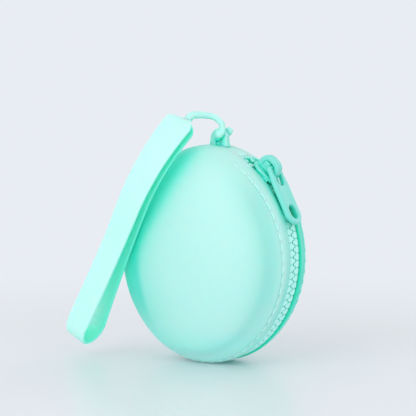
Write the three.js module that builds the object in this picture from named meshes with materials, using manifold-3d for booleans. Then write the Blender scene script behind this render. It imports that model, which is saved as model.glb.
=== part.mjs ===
// Egg-shaped silicone coin pouch: two domed halves on a moulded side wall, a side zip and a wrist strap.
// Millimetres, +Z up. The front dome looks along -Y, the zip runs down the +X side.
// The origin is the middle of the flat on the back dome, the face that the pouch lies on.
import * as THREE from 'three';
import { mergeVertices } from 'three/addons/utils/BufferGeometryUtils.js';
import Module from 'manifold-3d';

const wasm = await Module();
wasm.setup();

// Clearances
const seatGap = 0.3;
const runGap = 0.25;

// Egg outline in the seam plane, narrow end up: a bottom arc, two side arcs and a top arc, all tangent
const halfWidth = 40;
const sideFlattening = 6.5; // the side arcs' centres lie this far across the middle
const bottomTightening = 4.5; // the bottom arc's radius is this much under the half width
const topTightening = 12.5; // and the top arc's radius this much

// Domed halves
const wall = 2;
const domeDepth = 20;
const domePower = 2.4;
const domeCentreHeight = 41;
const restFlatDepth = 0.2;

// Slit for the zip, between the two rims
const slitHalfWidth = 3.7;
const slitBottomAngle = THREE.MathUtils.degToRad(-115);
const slitEndGap = 0.6;

// Stitch lines round the slit, each in its groove
const stitchInset = 5.2;
const grooveDepth = 0.8;
const grooveHalfWidth = 1.1;
const threadRadius = 0.3;
const threadSink = 0.1;
const tackOffset = 2.4; // end stitches, past the ends of the slit

// Zip chain
const toothPitch = 2.9;
const toothWidth = 1.1;
const toothHeight = 1.9;
const toothTip = 1; // how far a tooth reaches past the middle of the zip
const spineInner = 1.4;
const spineWidth = 1.3;
const spineHeight = 2.3;
const chainDepth = 2.45; // below the outline
const tapeThickness = 0.5;
const tapeReach = 7.5; // under the rim
const tapeOverrun = 2.5; // past each end of the slit
const stopLength = 2;

// Slider
const sliderAngle = THREE.MathUtils.degToRad(48.3);
const sliderLength = 13.2;
const sliderWidth = 8.6;
const sliderNose = 1.1; // narrower at its two ends
const plateThickness = 1.3;
const plateLift = 0.5; // above the rims
const lipThickness = 0.5;
const wedgeLength = 2.2;
const bridgeSpan = 11.2;
const bridgeOffset = 0.4; // its middle, below the slider's
const bridgeWidth = 3;
const bridgeThickness = 1.7;
const bridgeClear = 4.3; // under the arch
const bridgePower = 3; // how square its shoulders are

// Pull tab
const tabLength = 24.8;
const tabWidth = 9.6;
const tabThickness = 2;
const tabNeck = 7.4; // width at the bar
const tabBar = 1.6; // cross bar under the bridge
const tabBarPlace = 2.3; // below the slider's middle
const tabWindowLength = 7.2;
const tabWindowClear = 0.7;
const tabHoleLength = 5.2;
const tabHoleWidth = 3.2;
const tabHoleEdge = 2.4;
const tabRest = 0.8; // gap to the rims where the tab lies against them

// Eye for the strap, on top of the side wall
const eyeX = 3.2;
const eyeWidth = 8.1;
const eyeThickness = 2.8;
const eyeBar = 2.1;
const eyeRound = 0.7; // along its edges
const eyeStand = 2.8; // centre of the hole above the wall

// Wrist strap: a flat band in one closed loop, and the round link that carries it from the eye
const linkDiameter = 2.3;
const linkStraight = 3; // the link's last stretch, in line with the strap
const hitchAngle = THREE.MathUtils.degToRad(48); // where the link is hitched round the eye's arch
const hitchGap = 0.45; // between the hitch and the arch
const knobDiameter = 3;
const knobLength = 2.8;
const bandWidth = 10.4;
const bandCorner = 3.6; // rounding of its top end
const bandThickness = 1.4;
const bandLength = 108;
const bandTopGap = 3; // between the middles of the two layers, at the top
const bandFoldGap = 13.8; // and at the fold
const bandSpread = 2.8; // how late the layers part, as a power
const bandCurlLength = 43.5; // the upper part curls back to the link
const bandCurl = THREE.MathUtils.degToRad(45);
const bandAside = 6.4; // the strap's top, to the left of the eye
const bandForward = 13; // in front of the seam
const bandAbove = 8; // above the eye's hole
const bandTurn = new THREE.Euler(
  THREE.MathUtils.degToRad(5.5),
  THREE.MathUtils.degToRad(28.5),
  THREE.MathUtils.degToRad(3.4),
  'ZYX',
);

// Materials
const silicone = new THREE.MeshStandardMaterial({ color: 0xaef2ea, roughness: 0.55, metalness: 0 });
const zipPlastic = new THREE.MeshStandardMaterial({ color: 0x9deae0, roughness: 0.4, metalness: 0 });
const zipTape = new THREE.MeshStandardMaterial({ color: 0x6fd9cb, roughness: 0.9, metalness: 0 });
const thread = new THREE.MeshStandardMaterial({ color: 0xb9f3ec, roughness: 0.85, metalness: 0 });
const paintedMetal = new THREE.MeshStandardMaterial({ color: 0x93e3da, roughness: 0.35, metalness: 0 });

// Outline sizes that follow
const sideRadius = halfWidth + sideFlattening;
const bottomRadius = halfWidth - bottomTightening;
const topRadius = halfWidth - topTightening;
const bottomDrop = Math.sqrt(bottomTightening * (2 * sideFlattening + bottomTightening));
const topRise = Math.sqrt(topTightening * (2 * sideFlattening + topTightening));
const sideCentreHeight = bottomRadius + bottomDrop;
const topCentreHeight = sideCentreHeight + topRise;
const bottomJoint = Math.atan2(bottomDrop, sideFlattening);
const topJoint = Math.atan2(topRise, sideFlattening);
const stepsAround = 72;
const stepAngle = (2 * Math.PI) / stepsAround;

// A point of the outline, or of a line parallel to it, by the direction that it faces: x and height
function rimPoint(angle, outward) {
  const facing = Math.atan2(Math.sin(angle), Math.cos(angle));
  let centreX = facing > -bottomJoint && facing < topJoint ? -sideFlattening : sideFlattening;
  let centreHeight = sideCentreHeight;
  let radius = sideRadius;
  if (facing >= topJoint && facing <= Math.PI - topJoint) {
    centreX = 0;
    centreHeight = topCentreHeight;
    radius = topRadius;
  }
  if (facing <= -bottomJoint && facing >= bottomJoint - Math.PI) {
    centreX = 0;
    centreHeight = bottomRadius;
    radius = bottomRadius;
  }
  const reach = radius + outward;
  return new THREE.Vector2(centreX + reach * Math.cos(facing), centreHeight + reach * Math.sin(facing));
}

function onRim(angle, outward, y) {
  const point = rimPoint(angle, outward);
  return new THREE.Vector3(point.x, y, point.y);
}

// A point of a dome: half is -1 in front and 1 behind, depth runs from the rim, inset goes into the wall
function domePoint(half, angle, depth, inset) {
  const share = THREE.MathUtils.clamp(depth / (domeDepth - inset), 0, 1);
  const scale = (1 - share ** domePower) ** (1 / domePower);
  const rim = rimPoint(angle, -inset);
  const height = domeCentreHeight + scale * (rim.y - domeCentreHeight);
  return new THREE.Vector3(scale * rim.x, half * (slitHalfWidth + depth), height);
}

// Triangles of a flat ring, all turned the way that the ring runs
function ringFace(ring) {
  const normal = new THREE.Vector3();
  ring.forEach((point, i) => {
    normal.add(new THREE.Vector3().crossVectors(point, ring[(i + 1) % ring.length]));
  });
  const first = new THREE.Vector3().subVectors(ring[1], ring[0]).normalize();
  const second = new THREE.Vector3().crossVectors(normal, first).normalize();
  const flat = ring.map((point) => new THREE.Vector2(point.dot(first), point.dot(second)));
  return THREE.ShapeUtils.triangulateShape(flat, []).map(([a, b, c]) => {
    const turn = (flat[b].x - flat[a].x) * (flat[c].y - flat[a].y)
      - (flat[b].y - flat[a].y) * (flat[c].x - flat[a].x);
    return turn > 0 ? [a, b, c] : [a, c, b];
  });
}

// A closed solid through a row of rings, or through a loop of them
function loft(rings, looped = false) {
  const count = rings[0].length;
  const positions = rings.flat().flatMap((point) => [point.x, point.y, point.z]);
  const triangles = [];
  const bands = looped ? rings.length : rings.length - 1;
  for (let r = 0; r < bands; r += 1) {
    const here = r * count;
    const next = ((r + 1) % rings.length) * count;
    for (let c = 0; c < count; c += 1) {
      const d = (c + 1) % count;
      triangles.push([here + c, here + d, next + d]);
      triangles.push([here + c, next + d, next + c]);
    }
  }
  if (!looped) {
    const last = (rings.length - 1) * count;
    ringFace(rings[0]).forEach(([a, b, c]) => triangles.push([a, c, b]));
    ringFace(rings[rings.length - 1]).forEach(([a, b, c]) => triangles.push([last + a, last + b, last + c]));
  }
  const corners = rings.flat();
  const volume = triangles.reduce((sum, [a, b, c]) => (
    sum + corners[a].dot(new THREE.Vector3().crossVectors(corners[b], corners[c]))
  ), 0);
  const outward = volume > 0 ? triangles : triangles.map(([a, b, c]) => [a, c, b]);
  const geometry = new THREE.BufferGeometry();
  geometry.setAttribute('position', new THREE.Float32BufferAttribute(positions, 3));
  geometry.setIndex(outward.flat());
  return geometry;
}

function toSolid(geometry) {
  const bare = geometry.clone();
  bare.deleteAttribute('normal');
  bare.deleteAttribute('uv');
  const merged = mergeVertices(bare);
  return new wasm.Manifold(new wasm.Mesh({
    numProp: 3,
    vertProperties: new Float32Array(merged.attributes.position.array),
    triVerts: new Uint32Array(merged.index.array),
  }));
}

// Several overlapping solids joined into one
function fuse(geometries) {
  const joined = geometries.map(toSolid).reduce((sum, solid) => sum.add(solid));
  const mesh = joined.getMesh();
  const geometry = new THREE.BufferGeometry();
  geometry.setAttribute('position', new THREE.Float32BufferAttribute(mesh.vertProperties, 3));
  geometry.setIndex(Array.from(mesh.triVerts));
  return geometry;
}

const pouch = new THREE.Group();

function addPiece(name, geometry, material, parent = pouch) {
  const piece = new THREE.Mesh(geometry, material);
  piece.name = name;
  parent.add(piece);
  return piece;
}

// Angles from one end to the other, on the outline's own steps in between
function anglesBetween(start, end) {
  const angles = [start];
  const firstStep = Math.floor(start / stepAngle + 1.2);
  for (let step = firstStep; step * stepAngle < end - 0.2 * stepAngle; step += 1) {
    angles.push(step * stepAngle);
  }
  angles.push(end);
  return angles;
}

// A bar that follows the outline, with a four-cornered section: low and high are its depths, in and out
function rimBar(angles, low, high, yNear, yFar) {
  return loft(angles.map((angle) => [
    onRim(angle, high, yNear(angle)),
    onRim(angle, high, yFar(angle)),
    onRim(angle, low, yFar(angle)),
    onRim(angle, low, yNear(angle)),
  ]));
}

const fixed = (value) => () => value;

// Where the zip's pieces lie along the outline
const sliderTop = sliderAngle + sliderLength / 2 / sideRadius;
const stopStart = sliderTop + seatGap / sideRadius;
const stopEnd = stopStart + stopLength / sideRadius;
const slitTopAngle = stopEnd + slitEndGap / sideRadius;
const wedgeTop = sliderTop - seatGap / sideRadius;
const wedgeBottom = wedgeTop - wedgeLength / sideRadius;
const bottomStopEnd = slitBottomAngle + slitEndGap / bottomRadius;
const bottomStopStart = bottomStopEnd + stopLength / bottomRadius;
const chainBottom = bottomStopStart + seatGap / bottomRadius;
const frontChainTop = stopStart - seatGap / sideRadius;
const rearChainTop = wedgeBottom - seatGap / sideRadius;
const spineOuter = spineInner + spineWidth;
const tapeEdge = spineOuter + seatGap;
const tapeDepth = wall + seatGap;

// Domed half of the body, hollow, open at the rim, with a groove for its stitches
function halfShell(half) {
  const turnAt = (depth) => Math.asin((depth / domeDepth) ** (domePower / 2));
  const depthAt = (turn, reach) => reach * Math.sin(turn) ** (2 / domePower);
  const flatTurn = turnAt(domeDepth - restFlatDepth);
  const grooveEndTurn = turnAt(stitchInset + grooveHalfWidth);
  const domeSteps = 8;
  const angles = Array.from({ length: stepsAround }, (_, i) => (i - stepsAround / 2) * stepAngle);
  const sewn = (angle) => angle > slitBottomAngle - stepAngle && angle < slitTopAngle + stepAngle;
  const plain = (depth, inset) => angles.map((angle) => domePoint(half, angle, depth, inset));
  const rings = [];
  for (let step = domeSteps; step >= 0; step -= 1) {
    rings.push(plain(depthAt((flatTurn * step) / domeSteps, domeDepth - wall), wall));
  }
  rings.push(plain(0, 0));
  rings.push(plain(stitchInset - grooveHalfWidth, 0));
  rings.push(angles.map((angle) => domePoint(half, angle, stitchInset, sewn(angle) ? grooveDepth : 0)));
  for (let step = 0; step <= domeSteps; step += 1) {
    const turn = grooveEndTurn + ((flatTurn - grooveEndTurn) * step) / domeSteps;
    rings.push(plain(depthAt(turn, domeDepth), 0));
  }
  return loft(rings);
}

addPiece('front_shell', halfShell(-1), silicone);
addPiece('rear_shell', halfShell(1), silicone);

// Side wall between the halves, from the top end of the slit over the top and down the left side
const wallAngles = anglesBetween(slitTopAngle, slitBottomAngle + 2 * Math.PI);
addPiece(
  'hinge_wall',
  rimBar(wallAngles, -wall, 0, fixed(-slitHalfWidth), fixed(slitHalfWidth - runGap)),
  silicone,
);

// Stitch thread of one half, along its groove
function stitchThread(half) {
  const sides = 6;
  const angles = anglesBetween(slitBottomAngle, slitTopAngle);
  return loft(angles.map((angle) => {
    const centre = domePoint(half, angle, stitchInset, threadSink);
    const out = new THREE.Vector3(Math.cos(angle), 0, Math.sin(angle)).multiplyScalar(threadRadius);
    const along = new THREE.Vector3(0, threadRadius, 0);
    return Array.from({ length: sides }, (_, i) => {
      const turn = (2 * Math.PI * i) / sides;
      return centre.clone().addScaledVector(out, Math.cos(turn)).addScaledVector(along, Math.sin(turn));
    });
  }));
}

addPiece('front_stitch_thread', stitchThread(-1), thread);
addPiece('rear_stitch_thread', stitchThread(1), thread);

// End stitches across the side wall, one past each end of the slit
function endTack(angle, radius) {
  const halfTurn = threadRadius / radius;
  const reach = slitHalfWidth - 2 * runGap;
  const low = seatGap;
  const high = seatGap + 2 * threadRadius;
  return rimBar([angle - halfTurn, angle + halfTurn], low, high, fixed(-reach), fixed(reach));
}

addPiece('top_end_tack', endTack(slitTopAngle + tackOffset / sideRadius, sideRadius), thread);
addPiece('bottom_end_tack', endTack(slitBottomAngle - tackOffset / bottomRadius, bottomRadius), thread);

// Woven tape of one half: its edge carries the teeth, the rest lies under the rim
function tape(half) {
  const depths = [tapeEdge - slitHalfWidth, tapeReach / 4, (tapeReach * 5) / 8, tapeReach];
  const low = slitBottomAngle - tapeOverrun / bottomRadius;
  const high = slitTopAngle + tapeOverrun / sideRadius;
  return loft(anglesBetween(low, high).map((angle) => {
    const outer = depths.map((depth) => domePoint(half, angle, depth, tapeDepth));
    const inner = depths.map((depth) => domePoint(half, angle, depth, tapeDepth + tapeThickness));
    return [...outer, ...inner.reverse()];
  }));
}

addPiece('front_zip_tape', tape(-1), zipTape);
addPiece('rear_zip_tape', tape(1), zipTape);

// Distance along the chain, from the front chain's top end, to the direction faced there
const chainSideRadius = sideRadius - chainDepth;
const chainBottomRadius = bottomRadius - chainDepth;
const chainSideLength = (frontChainTop + bottomJoint) * chainSideRadius;
const chainLength = chainSideLength + (-bottomJoint - chainBottom) * chainBottomRadius;

function chainAngle(distance) {
  if (distance < chainSideLength) {
    return frontChainTop - distance / chainSideRadius;
  }
  return -bottomJoint - (distance - chainSideLength) / chainBottomRadius;
}

// Teeth of one half, moulded on a spine along the edge of its tape
function teeth(half, top) {
  const spine = rimBar(
    anglesBetween(chainBottom, top),
    -chainDepth - spineHeight / 2,
    -chainDepth + spineHeight / 2,
    fixed(half * spineInner),
    fixed(half * spineOuter),
  );
  const solids = [spine];
  const topDistance = (frontChainTop - top) * chainSideRadius;
  const shift = half > 0 ? toothPitch : toothPitch / 2;
  for (let distance = shift; distance < chainLength - toothWidth; distance += toothPitch) {
    if (distance > topDistance + toothWidth) {
      const middle = chainAngle(distance);
      const halfTurn = toothWidth / 2 / chainSideRadius;
      solids.push(rimBar(
        [middle - halfTurn, middle + halfTurn],
        -chainDepth - toothHeight / 2,
        -chainDepth + toothHeight / 2,
        fixed(half * (spineInner + spineWidth / 2)),
        fixed(-half * toothTip),
      ));
    }
  }
  return fuse(solids);
}

addPiece('front_zip_teeth', teeth(-1, frontChainTop), zipPlastic);
addPiece('rear_zip_teeth', teeth(1, rearChainTop), zipPlastic);

// Stops at the ends of the chain
function topStop(half) {
  return rimBar(
    [stopStart, stopEnd],
    -chainDepth - spineHeight / 2,
    -chainDepth + spineHeight / 2,
    fixed(half * spineInner),
    fixed(half * spineOuter),
  );
}

addPiece('front_top_stop', topStop(-1), zipPlastic);
addPiece('rear_top_stop', topStop(1), zipPlastic);
addPiece(
  'bottom_stop',
  rimBar(
    [bottomStopEnd, bottomStopStart],
    -chainDepth - spineHeight / 2,
    -chainDepth + spineHeight / 2,
    fixed(-spineOuter),
    fixed(spineOuter),
  ),
  zipPlastic,
);

// Slider: an outer and an inner plate with lips beside the chain, held together by the wedge
const plateTop = plateLift + plateThickness;
const innerPlateTop = -chainDepth - spineHeight / 2 - runGap;
const lipInner = spineOuter + runGap;
const sliderSteps = 8;
const sliderAngles = Array.from({ length: sliderSteps + 1 }, (_, i) => (
  sliderAngle + ((i / sliderSteps - 0.5) * sliderLength) / sideRadius
));

function plateHalfWidth(angle) {
  const place = ((angle - sliderAngle) * sideRadius) / (sliderLength / 2);
  return sliderWidth / 2 - sliderNose * place ** 4;
}

function sliderPlate(low, high) {
  return rimBar(sliderAngles, low, high, (angle) => -plateHalfWidth(angle), plateHalfWidth);
}

function sliderLip(half, low, high) {
  const angles = sliderAngles.slice(1, -1);
  return rimBar(angles, low, high, fixed(half * lipInner), fixed(half * (lipInner + lipThickness)));
}

function slider() {
  const root = plateThickness / 2;
  const solids = [
    sliderPlate(plateLift, plateTop),
    sliderPlate(innerPlateTop - plateThickness, innerPlateTop),
  ];
  [-1, 1].forEach((half) => {
    solids.push(sliderLip(half, -tapeDepth + seatGap, plateLift + root));
    solids.push(sliderLip(half, innerPlateTop - root, -tapeDepth - tapeThickness - seatGap));
  });
  solids.push(rimBar(
    [wedgeBottom, wedgeTop],
    innerPlateTop - root,
    plateLift + root,
    fixed(spineInner),
    fixed(spineOuter),
  ));
  return fuse(solids);
}

addPiece('slider_body', slider(), paintedMetal);

// Place of the slider: its own x runs down the zip, its own z points out of the pouch
const sliderPlace = new THREE.Group();
sliderPlace.position.copy(onRim(sliderAngle, 0, 0));
sliderPlace.rotation.y = Math.PI / 2 - sliderAngle;
pouch.add(sliderPlace);

// Height of the bridge's inner or outer line, at a place along the slider
function archHeight(place, halfSpan, rise) {
  const share = Math.min(1, Math.abs(place - bridgeOffset) / halfSpan);
  return rise * (1 - share ** bridgePower) ** (1 / bridgePower);
}

function archLine(halfSpan, rise) {
  const steps = 22;
  return Array.from({ length: steps + 1 }, (_, i) => {
    const place = bridgeOffset + halfSpan * Math.cos((Math.PI * i) / steps);
    return new THREE.Vector2(place, archHeight(place, halfSpan, rise));
  });
}

function bridge() {
  const halfSpan = bridgeSpan / 2;
  const arch = new THREE.Shape([
    ...archLine(halfSpan, bridgeClear + bridgeThickness),
    ...archLine(halfSpan - bridgeThickness, bridgeClear).reverse(),
  ]);
  const geometry = new THREE.ExtrudeGeometry(arch, { depth: bridgeWidth, bevelEnabled: false });
  geometry.rotateX(Math.PI / 2);
  geometry.translate(0, bridgeWidth / 2, plateTop + seatGap);
  return geometry;
}

addPiece('slider_bridge', bridge(), paintedMetal, sliderPlace);

// Pull tab: its cross bar lies under the bridge, the bridge stands in its window, and it rests on the rims
const barSweep = Math.hypot(tabBar, tabThickness) / 2;
const barShoulder = 0.8 * barSweep; // its corner, nearest to the arch
const barRoom = archHeight(tabBarPlace + barShoulder, bridgeSpan / 2 - bridgeThickness, bridgeClear);
const barHeight = plateTop + seatGap + barRoom - barShoulder - runGap;
const barRadius = Math.hypot(tabBarPlace, sideRadius + barHeight);
const tabPlace = new THREE.Group();
tabPlace.position.set(tabBarPlace, 0, barHeight);
tabPlace.rotation.y = Math.acos((sideRadius + tabRest + tabThickness / 2) / barRadius)
  + Math.atan2(tabBarPlace, sideRadius + barHeight);
sliderPlace.add(tabPlace);

function pullTab() {
  const end = tabLength - tabWidth / 2;
  const outline = new THREE.Shape();
  outline.moveTo(-tabBar / 2, -tabNeck / 2);
  outline.lineTo(tabWindowLength, -tabWidth / 2);
  outline.lineTo(end, -tabWidth / 2);
  outline.absarc(end, 0, tabWidth / 2, -Math.PI / 2, Math.PI / 2, false);
  outline.lineTo(tabWindowLength, tabWidth / 2);
  outline.lineTo(-tabBar / 2, tabNeck / 2);
  const windowHalf = bridgeWidth / 2 + tabWindowClear;
  const windowEnd = tabBar / 2 + tabWindowLength;
  const bridgeWindow = new THREE.Path();
  bridgeWindow.moveTo(tabBar / 2, -windowHalf);
  bridgeWindow.lineTo(windowEnd - windowHalf, -windowHalf);
  bridgeWindow.absarc(windowEnd - windowHalf, 0, windowHalf, -Math.PI / 2, Math.PI / 2, false);
  bridgeWindow.lineTo(tabBar / 2, windowHalf);
  const holeRadius = tabHoleWidth / 2;
  const holeFar = tabLength - tabHoleEdge - holeRadius;
  const holeNear = holeFar - (tabHoleLength - tabHoleWidth);
  const hole = new THREE.Path();
  hole.moveTo(holeNear, -holeRadius);
  hole.lineTo(holeFar, -holeRadius);
  hole.absarc(holeFar, 0, holeRadius, -Math.PI / 2, Math.PI / 2, false);
  hole.lineTo(holeNear, holeRadius);
  hole.absarc(holeNear, 0, holeRadius, Math.PI / 2, (3 * Math.PI) / 2, false);
  outline.holes.push(bridgeWindow, hole);
  const options = { depth: tabThickness, bevelEnabled: false, curveSegments: 8 };
  const geometry = new THREE.ExtrudeGeometry(outline, options);
  geometry.translate(0, 0, -tabThickness / 2);
  return geometry;
}

addPiece('pull_tab', pullTab(), paintedMetal, tabPlace);

// Eye: an arch that stands on the side wall, its hole along Y
const eyeAngle = Math.acos(eyeX / topRadius);
const eyeHeight = rimPoint(eyeAngle, 0).y + eyeStand;

function eye() {
  const outer = eyeWidth / 2;
  const inner = outer - eyeBar;
  const seatRadius = topRadius + seatGap;
  const seatHeight = (x) => topCentreHeight + Math.sqrt(seatRadius ** 2 - x ** 2) - eyeHeight;
  const arch = new THREE.Shape();
  arch.moveTo(outer, seatHeight(eyeX + outer));
  arch.lineTo(outer, 0);
  arch.absarc(0, 0, outer, 0, Math.PI, false);
  arch.lineTo(-outer, seatHeight(eyeX - outer));
  arch.lineTo(-inner, seatHeight(eyeX - inner));
  arch.lineTo(-inner, 0);
  arch.absarc(0, 0, inner, Math.PI, 0, true);
  arch.lineTo(inner, seatHeight(eyeX + inner));
  const options = {
    depth: eyeThickness - 2 * eyeRound,
    bevelThickness: eyeRound,
    bevelSize: eyeRound,
    bevelOffset: -eyeRound,
    bevelSegments: 2,
    curveSegments: 10,
  };
  const geometry = new THREE.ExtrudeGeometry(arch, options);
  geometry.rotateX(Math.PI / 2);
  geometry.translate(eyeX, eyeThickness / 2 - eyeRound, eyeHeight);
  return geometry;
}

addPiece('strap_eye', eye(), silicone);

// Strap band: its own z runs up the strap, its own -y faces front, and its top end is its place
const strapPlace = new THREE.Group();
strapPlace.position.set(eyeX - bandAside, -bandForward, eyeHeight + bandAbove);
strapPlace.rotation.copy(bandTurn);
strapPlace.updateMatrix();
pouch.add(strapPlace);

// A point of the strap: down from its top, out towards the front, and across its width
function strapPoint(down, out, across) {
  const radius = bandCurlLength / bandCurl;
  const curl = Math.max(0, bandCurl - down / radius);
  const straight = Math.max(0, down - bandCurlLength);
  const y = radius * (Math.cos(bandCurl) - Math.cos(curl)) - out * Math.cos(curl);
  const z = radius * (Math.sin(curl) - Math.sin(bandCurl)) - straight + out * Math.sin(curl);
  return new THREE.Vector3(across, y, z);
}

function bandHalfWidth(down) {
  const left = THREE.MathUtils.clamp(1 - down / bandCorner, 0, 1);
  return bandWidth / 2 - bandCorner * (1 - Math.sqrt(1 - left ** 2));
}

function band() {
  const topRound = bandTopGap / 2;
  const foldRound = bandFoldGap / 2;
  const foldStart = bandLength - foldRound;
  const runs = 18;
  const turns = 8;
  const bandCrowding = 1.5; // more steps near the rounded top
  const middle = [];
  for (let i = 0; i < runs; i += 1) {
    const share = (i / runs) ** bandCrowding;
    const gap = topRound + (foldRound - topRound) * share ** bandSpread;
    middle.push(new THREE.Vector2(topRound + (foldStart - topRound) * share, gap));
  }
  for (let i = 0; i <= turns; i += 1) {
    const turn = (Math.PI * i) / turns;
    middle.push(new THREE.Vector2(foldStart + foldRound * Math.sin(turn), foldRound * Math.cos(turn)));
  }
  for (let i = runs - 1; i >= 0; i -= 1) {
    middle.push(new THREE.Vector2(middle[i].x, -middle[i].y));
  }
  for (let i = 1; i < turns; i += 1) {
    const turn = (Math.PI * i) / turns;
    middle.push(new THREE.Vector2(topRound - topRound * Math.sin(turn), -topRound * Math.cos(turn)));
  }
  return loft(middle.map((point, i) => {
    const before = middle[(i + middle.length - 1) % middle.length];
    const after = middle[(i + 1) % middle.length];
    const along = new THREE.Vector2().subVectors(after, before).normalize();
    const side = new THREE.Vector2(along.y, -along.x).multiplyScalar(bandThickness / 2);
    const half = bandHalfWidth(point.x);
    const inner = point.clone().add(side);
    const outer = point.clone().sub(side);
    return [
      strapPoint(outer.x, outer.y, -half),
      strapPoint(outer.x, outer.y, half),
      strapPoint(inner.x, inner.y, half),
      strapPoint(inner.x, inner.y, -half),
    ];
  }), true);
}

addPiece('strap_band', band(), silicone, strapPlace);

// Link: one turn round the eye's arch, from its knob through the hole, then up and over to the strap's top
function hitchPoint(turn) {
  const outward = eyeBar / 2 + hitchGap + linkDiameter / 2;
  const aside = eyeThickness / 2 + hitchGap + linkDiameter / 2;
  const reach = (eyeWidth - eyeBar) / 2 + outward * Math.cos(turn);
  return new THREE.Vector3(
    eyeX + reach * Math.cos(hitchAngle),
    -aside * Math.sin(turn),
    eyeHeight + reach * Math.sin(hitchAngle),
  );
}

const hitchTurns = [325, 275, 225, 180, 135, 95, 60].map((turn) => THREE.MathUtils.degToRad(turn));
const linkEnd = strapPoint(-bandThickness / 2 - seatGap, 0, 0).applyMatrix4(strapPlace.matrix);
const linkLead = strapPoint(-linkStraight, 0, 0).applyMatrix4(strapPlace.matrix);
const linkPath = new THREE.CatmullRomCurve3([
  ...hitchTurns.map(hitchPoint),
  new THREE.Vector3(eyeX + 2.7, -2.6, eyeHeight + 5.7),
  new THREE.Vector3(eyeX + 1.7, -3, eyeHeight + 7.2),
  new THREE.Vector3(eyeX - 0.4, -4.2, eyeHeight + 9.3),
  new THREE.Vector3(eyeX - 2.5, -6.4, eyeHeight + 10.2),
  linkLead,
  linkEnd,
]);

function circle(radius, sides) {
  const outline = new THREE.Shape();
  outline.moveTo(radius, 0);
  for (let i = 1; i < sides; i += 1) {
    const turn = (2 * Math.PI * i) / sides;
    outline.lineTo(radius * Math.cos(turn), radius * Math.sin(turn));
  }
  outline.closePath();
  return outline;
}

function link() {
  const options = { steps: 44, bevelEnabled: false, extrudePath: linkPath };
  return new THREE.ExtrudeGeometry(circle(linkDiameter / 2, 8), options);
}

addPiece('strap_link', link(), silicone);

// Knob on the link's free end, on top of the arch
function knob() {
  const radius = knobDiameter / 2;
  const half = knobLength / 2;
  const profile = Array.from({ length: 9 }, (_, i) => {
    const turn = (Math.PI * i) / 8 - Math.PI / 2;
    return new THREE.Vector2(i % 8 ? radius * Math.cos(turn) : 0, half * Math.sin(turn));
  });
  return new THREE.LatheGeometry(profile, 14);
}

const linkKnob = addPiece('link_knob', knob(), silicone);
const knobAxis = linkPath.getTangent(0).negate();
linkKnob.quaternion.setFromUnitVectors(new THREE.Vector3(0, 1, 0), knobAxis);
linkKnob.position.copy(linkPath.getPoint(0)).addScaledVector(knobAxis, seatGap + knobLength / 2);

const backFlat = slitHalfWidth + domeDepth - restFlatDepth;
pouch.position.set(0, -backFlat, -domeCentreHeight);

export default pouch;
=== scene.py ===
# Silicone coin pouch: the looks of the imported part, built in the part's own frame
import math

import bmesh
import bpy
import numpy as np
from mathutils import Euler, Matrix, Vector


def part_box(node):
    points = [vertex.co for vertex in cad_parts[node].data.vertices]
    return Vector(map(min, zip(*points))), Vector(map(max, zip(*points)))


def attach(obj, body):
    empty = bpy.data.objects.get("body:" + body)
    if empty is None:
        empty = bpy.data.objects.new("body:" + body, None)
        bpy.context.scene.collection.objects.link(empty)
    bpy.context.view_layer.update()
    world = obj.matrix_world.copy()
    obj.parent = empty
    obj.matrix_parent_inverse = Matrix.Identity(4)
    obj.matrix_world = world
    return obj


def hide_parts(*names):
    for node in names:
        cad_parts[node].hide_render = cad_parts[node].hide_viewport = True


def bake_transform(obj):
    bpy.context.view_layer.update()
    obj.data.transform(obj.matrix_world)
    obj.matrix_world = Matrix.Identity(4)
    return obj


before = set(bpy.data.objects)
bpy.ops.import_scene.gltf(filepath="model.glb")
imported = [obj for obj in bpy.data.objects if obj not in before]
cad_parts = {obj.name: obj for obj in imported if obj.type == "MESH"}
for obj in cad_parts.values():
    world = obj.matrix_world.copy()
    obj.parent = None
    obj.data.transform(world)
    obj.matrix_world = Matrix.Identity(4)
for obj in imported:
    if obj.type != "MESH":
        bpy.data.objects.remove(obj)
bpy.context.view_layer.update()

mm = 0.001
deg = math.pi / 180

# Shapes are worked out in millimetres in the egg's own frame: seam plane at y 0, bottom of the egg at z 0
frontLow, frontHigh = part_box("front_shell")
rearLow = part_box("rear_shell")[0]
eggOrigin = np.array([0.0, (frontHigh.y + rearLow.y) / 2, frontLow.z]) / mm


def toRow(points):
    return (np.asarray(points, float) + eggOrigin) * mm


floorHeight = float(toRow([0, 0, 0])[2])
egg = {
    "halfWidth": 40.0,
    "sideFlattening": 6.5,
    "bottomTightening": 4.5,
    "topTightening": 12.5,
    "wall": 2.0,
    "domeDepth": 20.0,
    "domePower": 2.4,
    "domeCentre": 41.0,
    "slitHalf": (rearLow.y - frontHigh.y) / 2 / mm,
    "slitTop": 60.2 * deg,
    "slitBottom": -115 * deg,
}
sideRadius = egg["halfWidth"] + egg["sideFlattening"]
bottomRadius = egg["halfWidth"] - egg["bottomTightening"]
topRadius = egg["halfWidth"] - egg["topTightening"]
bottomDrop = math.sqrt(egg["bottomTightening"] * (2 * egg["sideFlattening"] + egg["bottomTightening"]))
topRise = math.sqrt(egg["topTightening"] * (2 * egg["sideFlattening"] + egg["topTightening"]))
sideCentre = bottomRadius + bottomDrop
topCentre = sideCentre + topRise
bottomJoint = math.atan2(bottomDrop, egg["sideFlattening"])
topJoint = math.atan2(topRise, egg["sideFlattening"])


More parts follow.
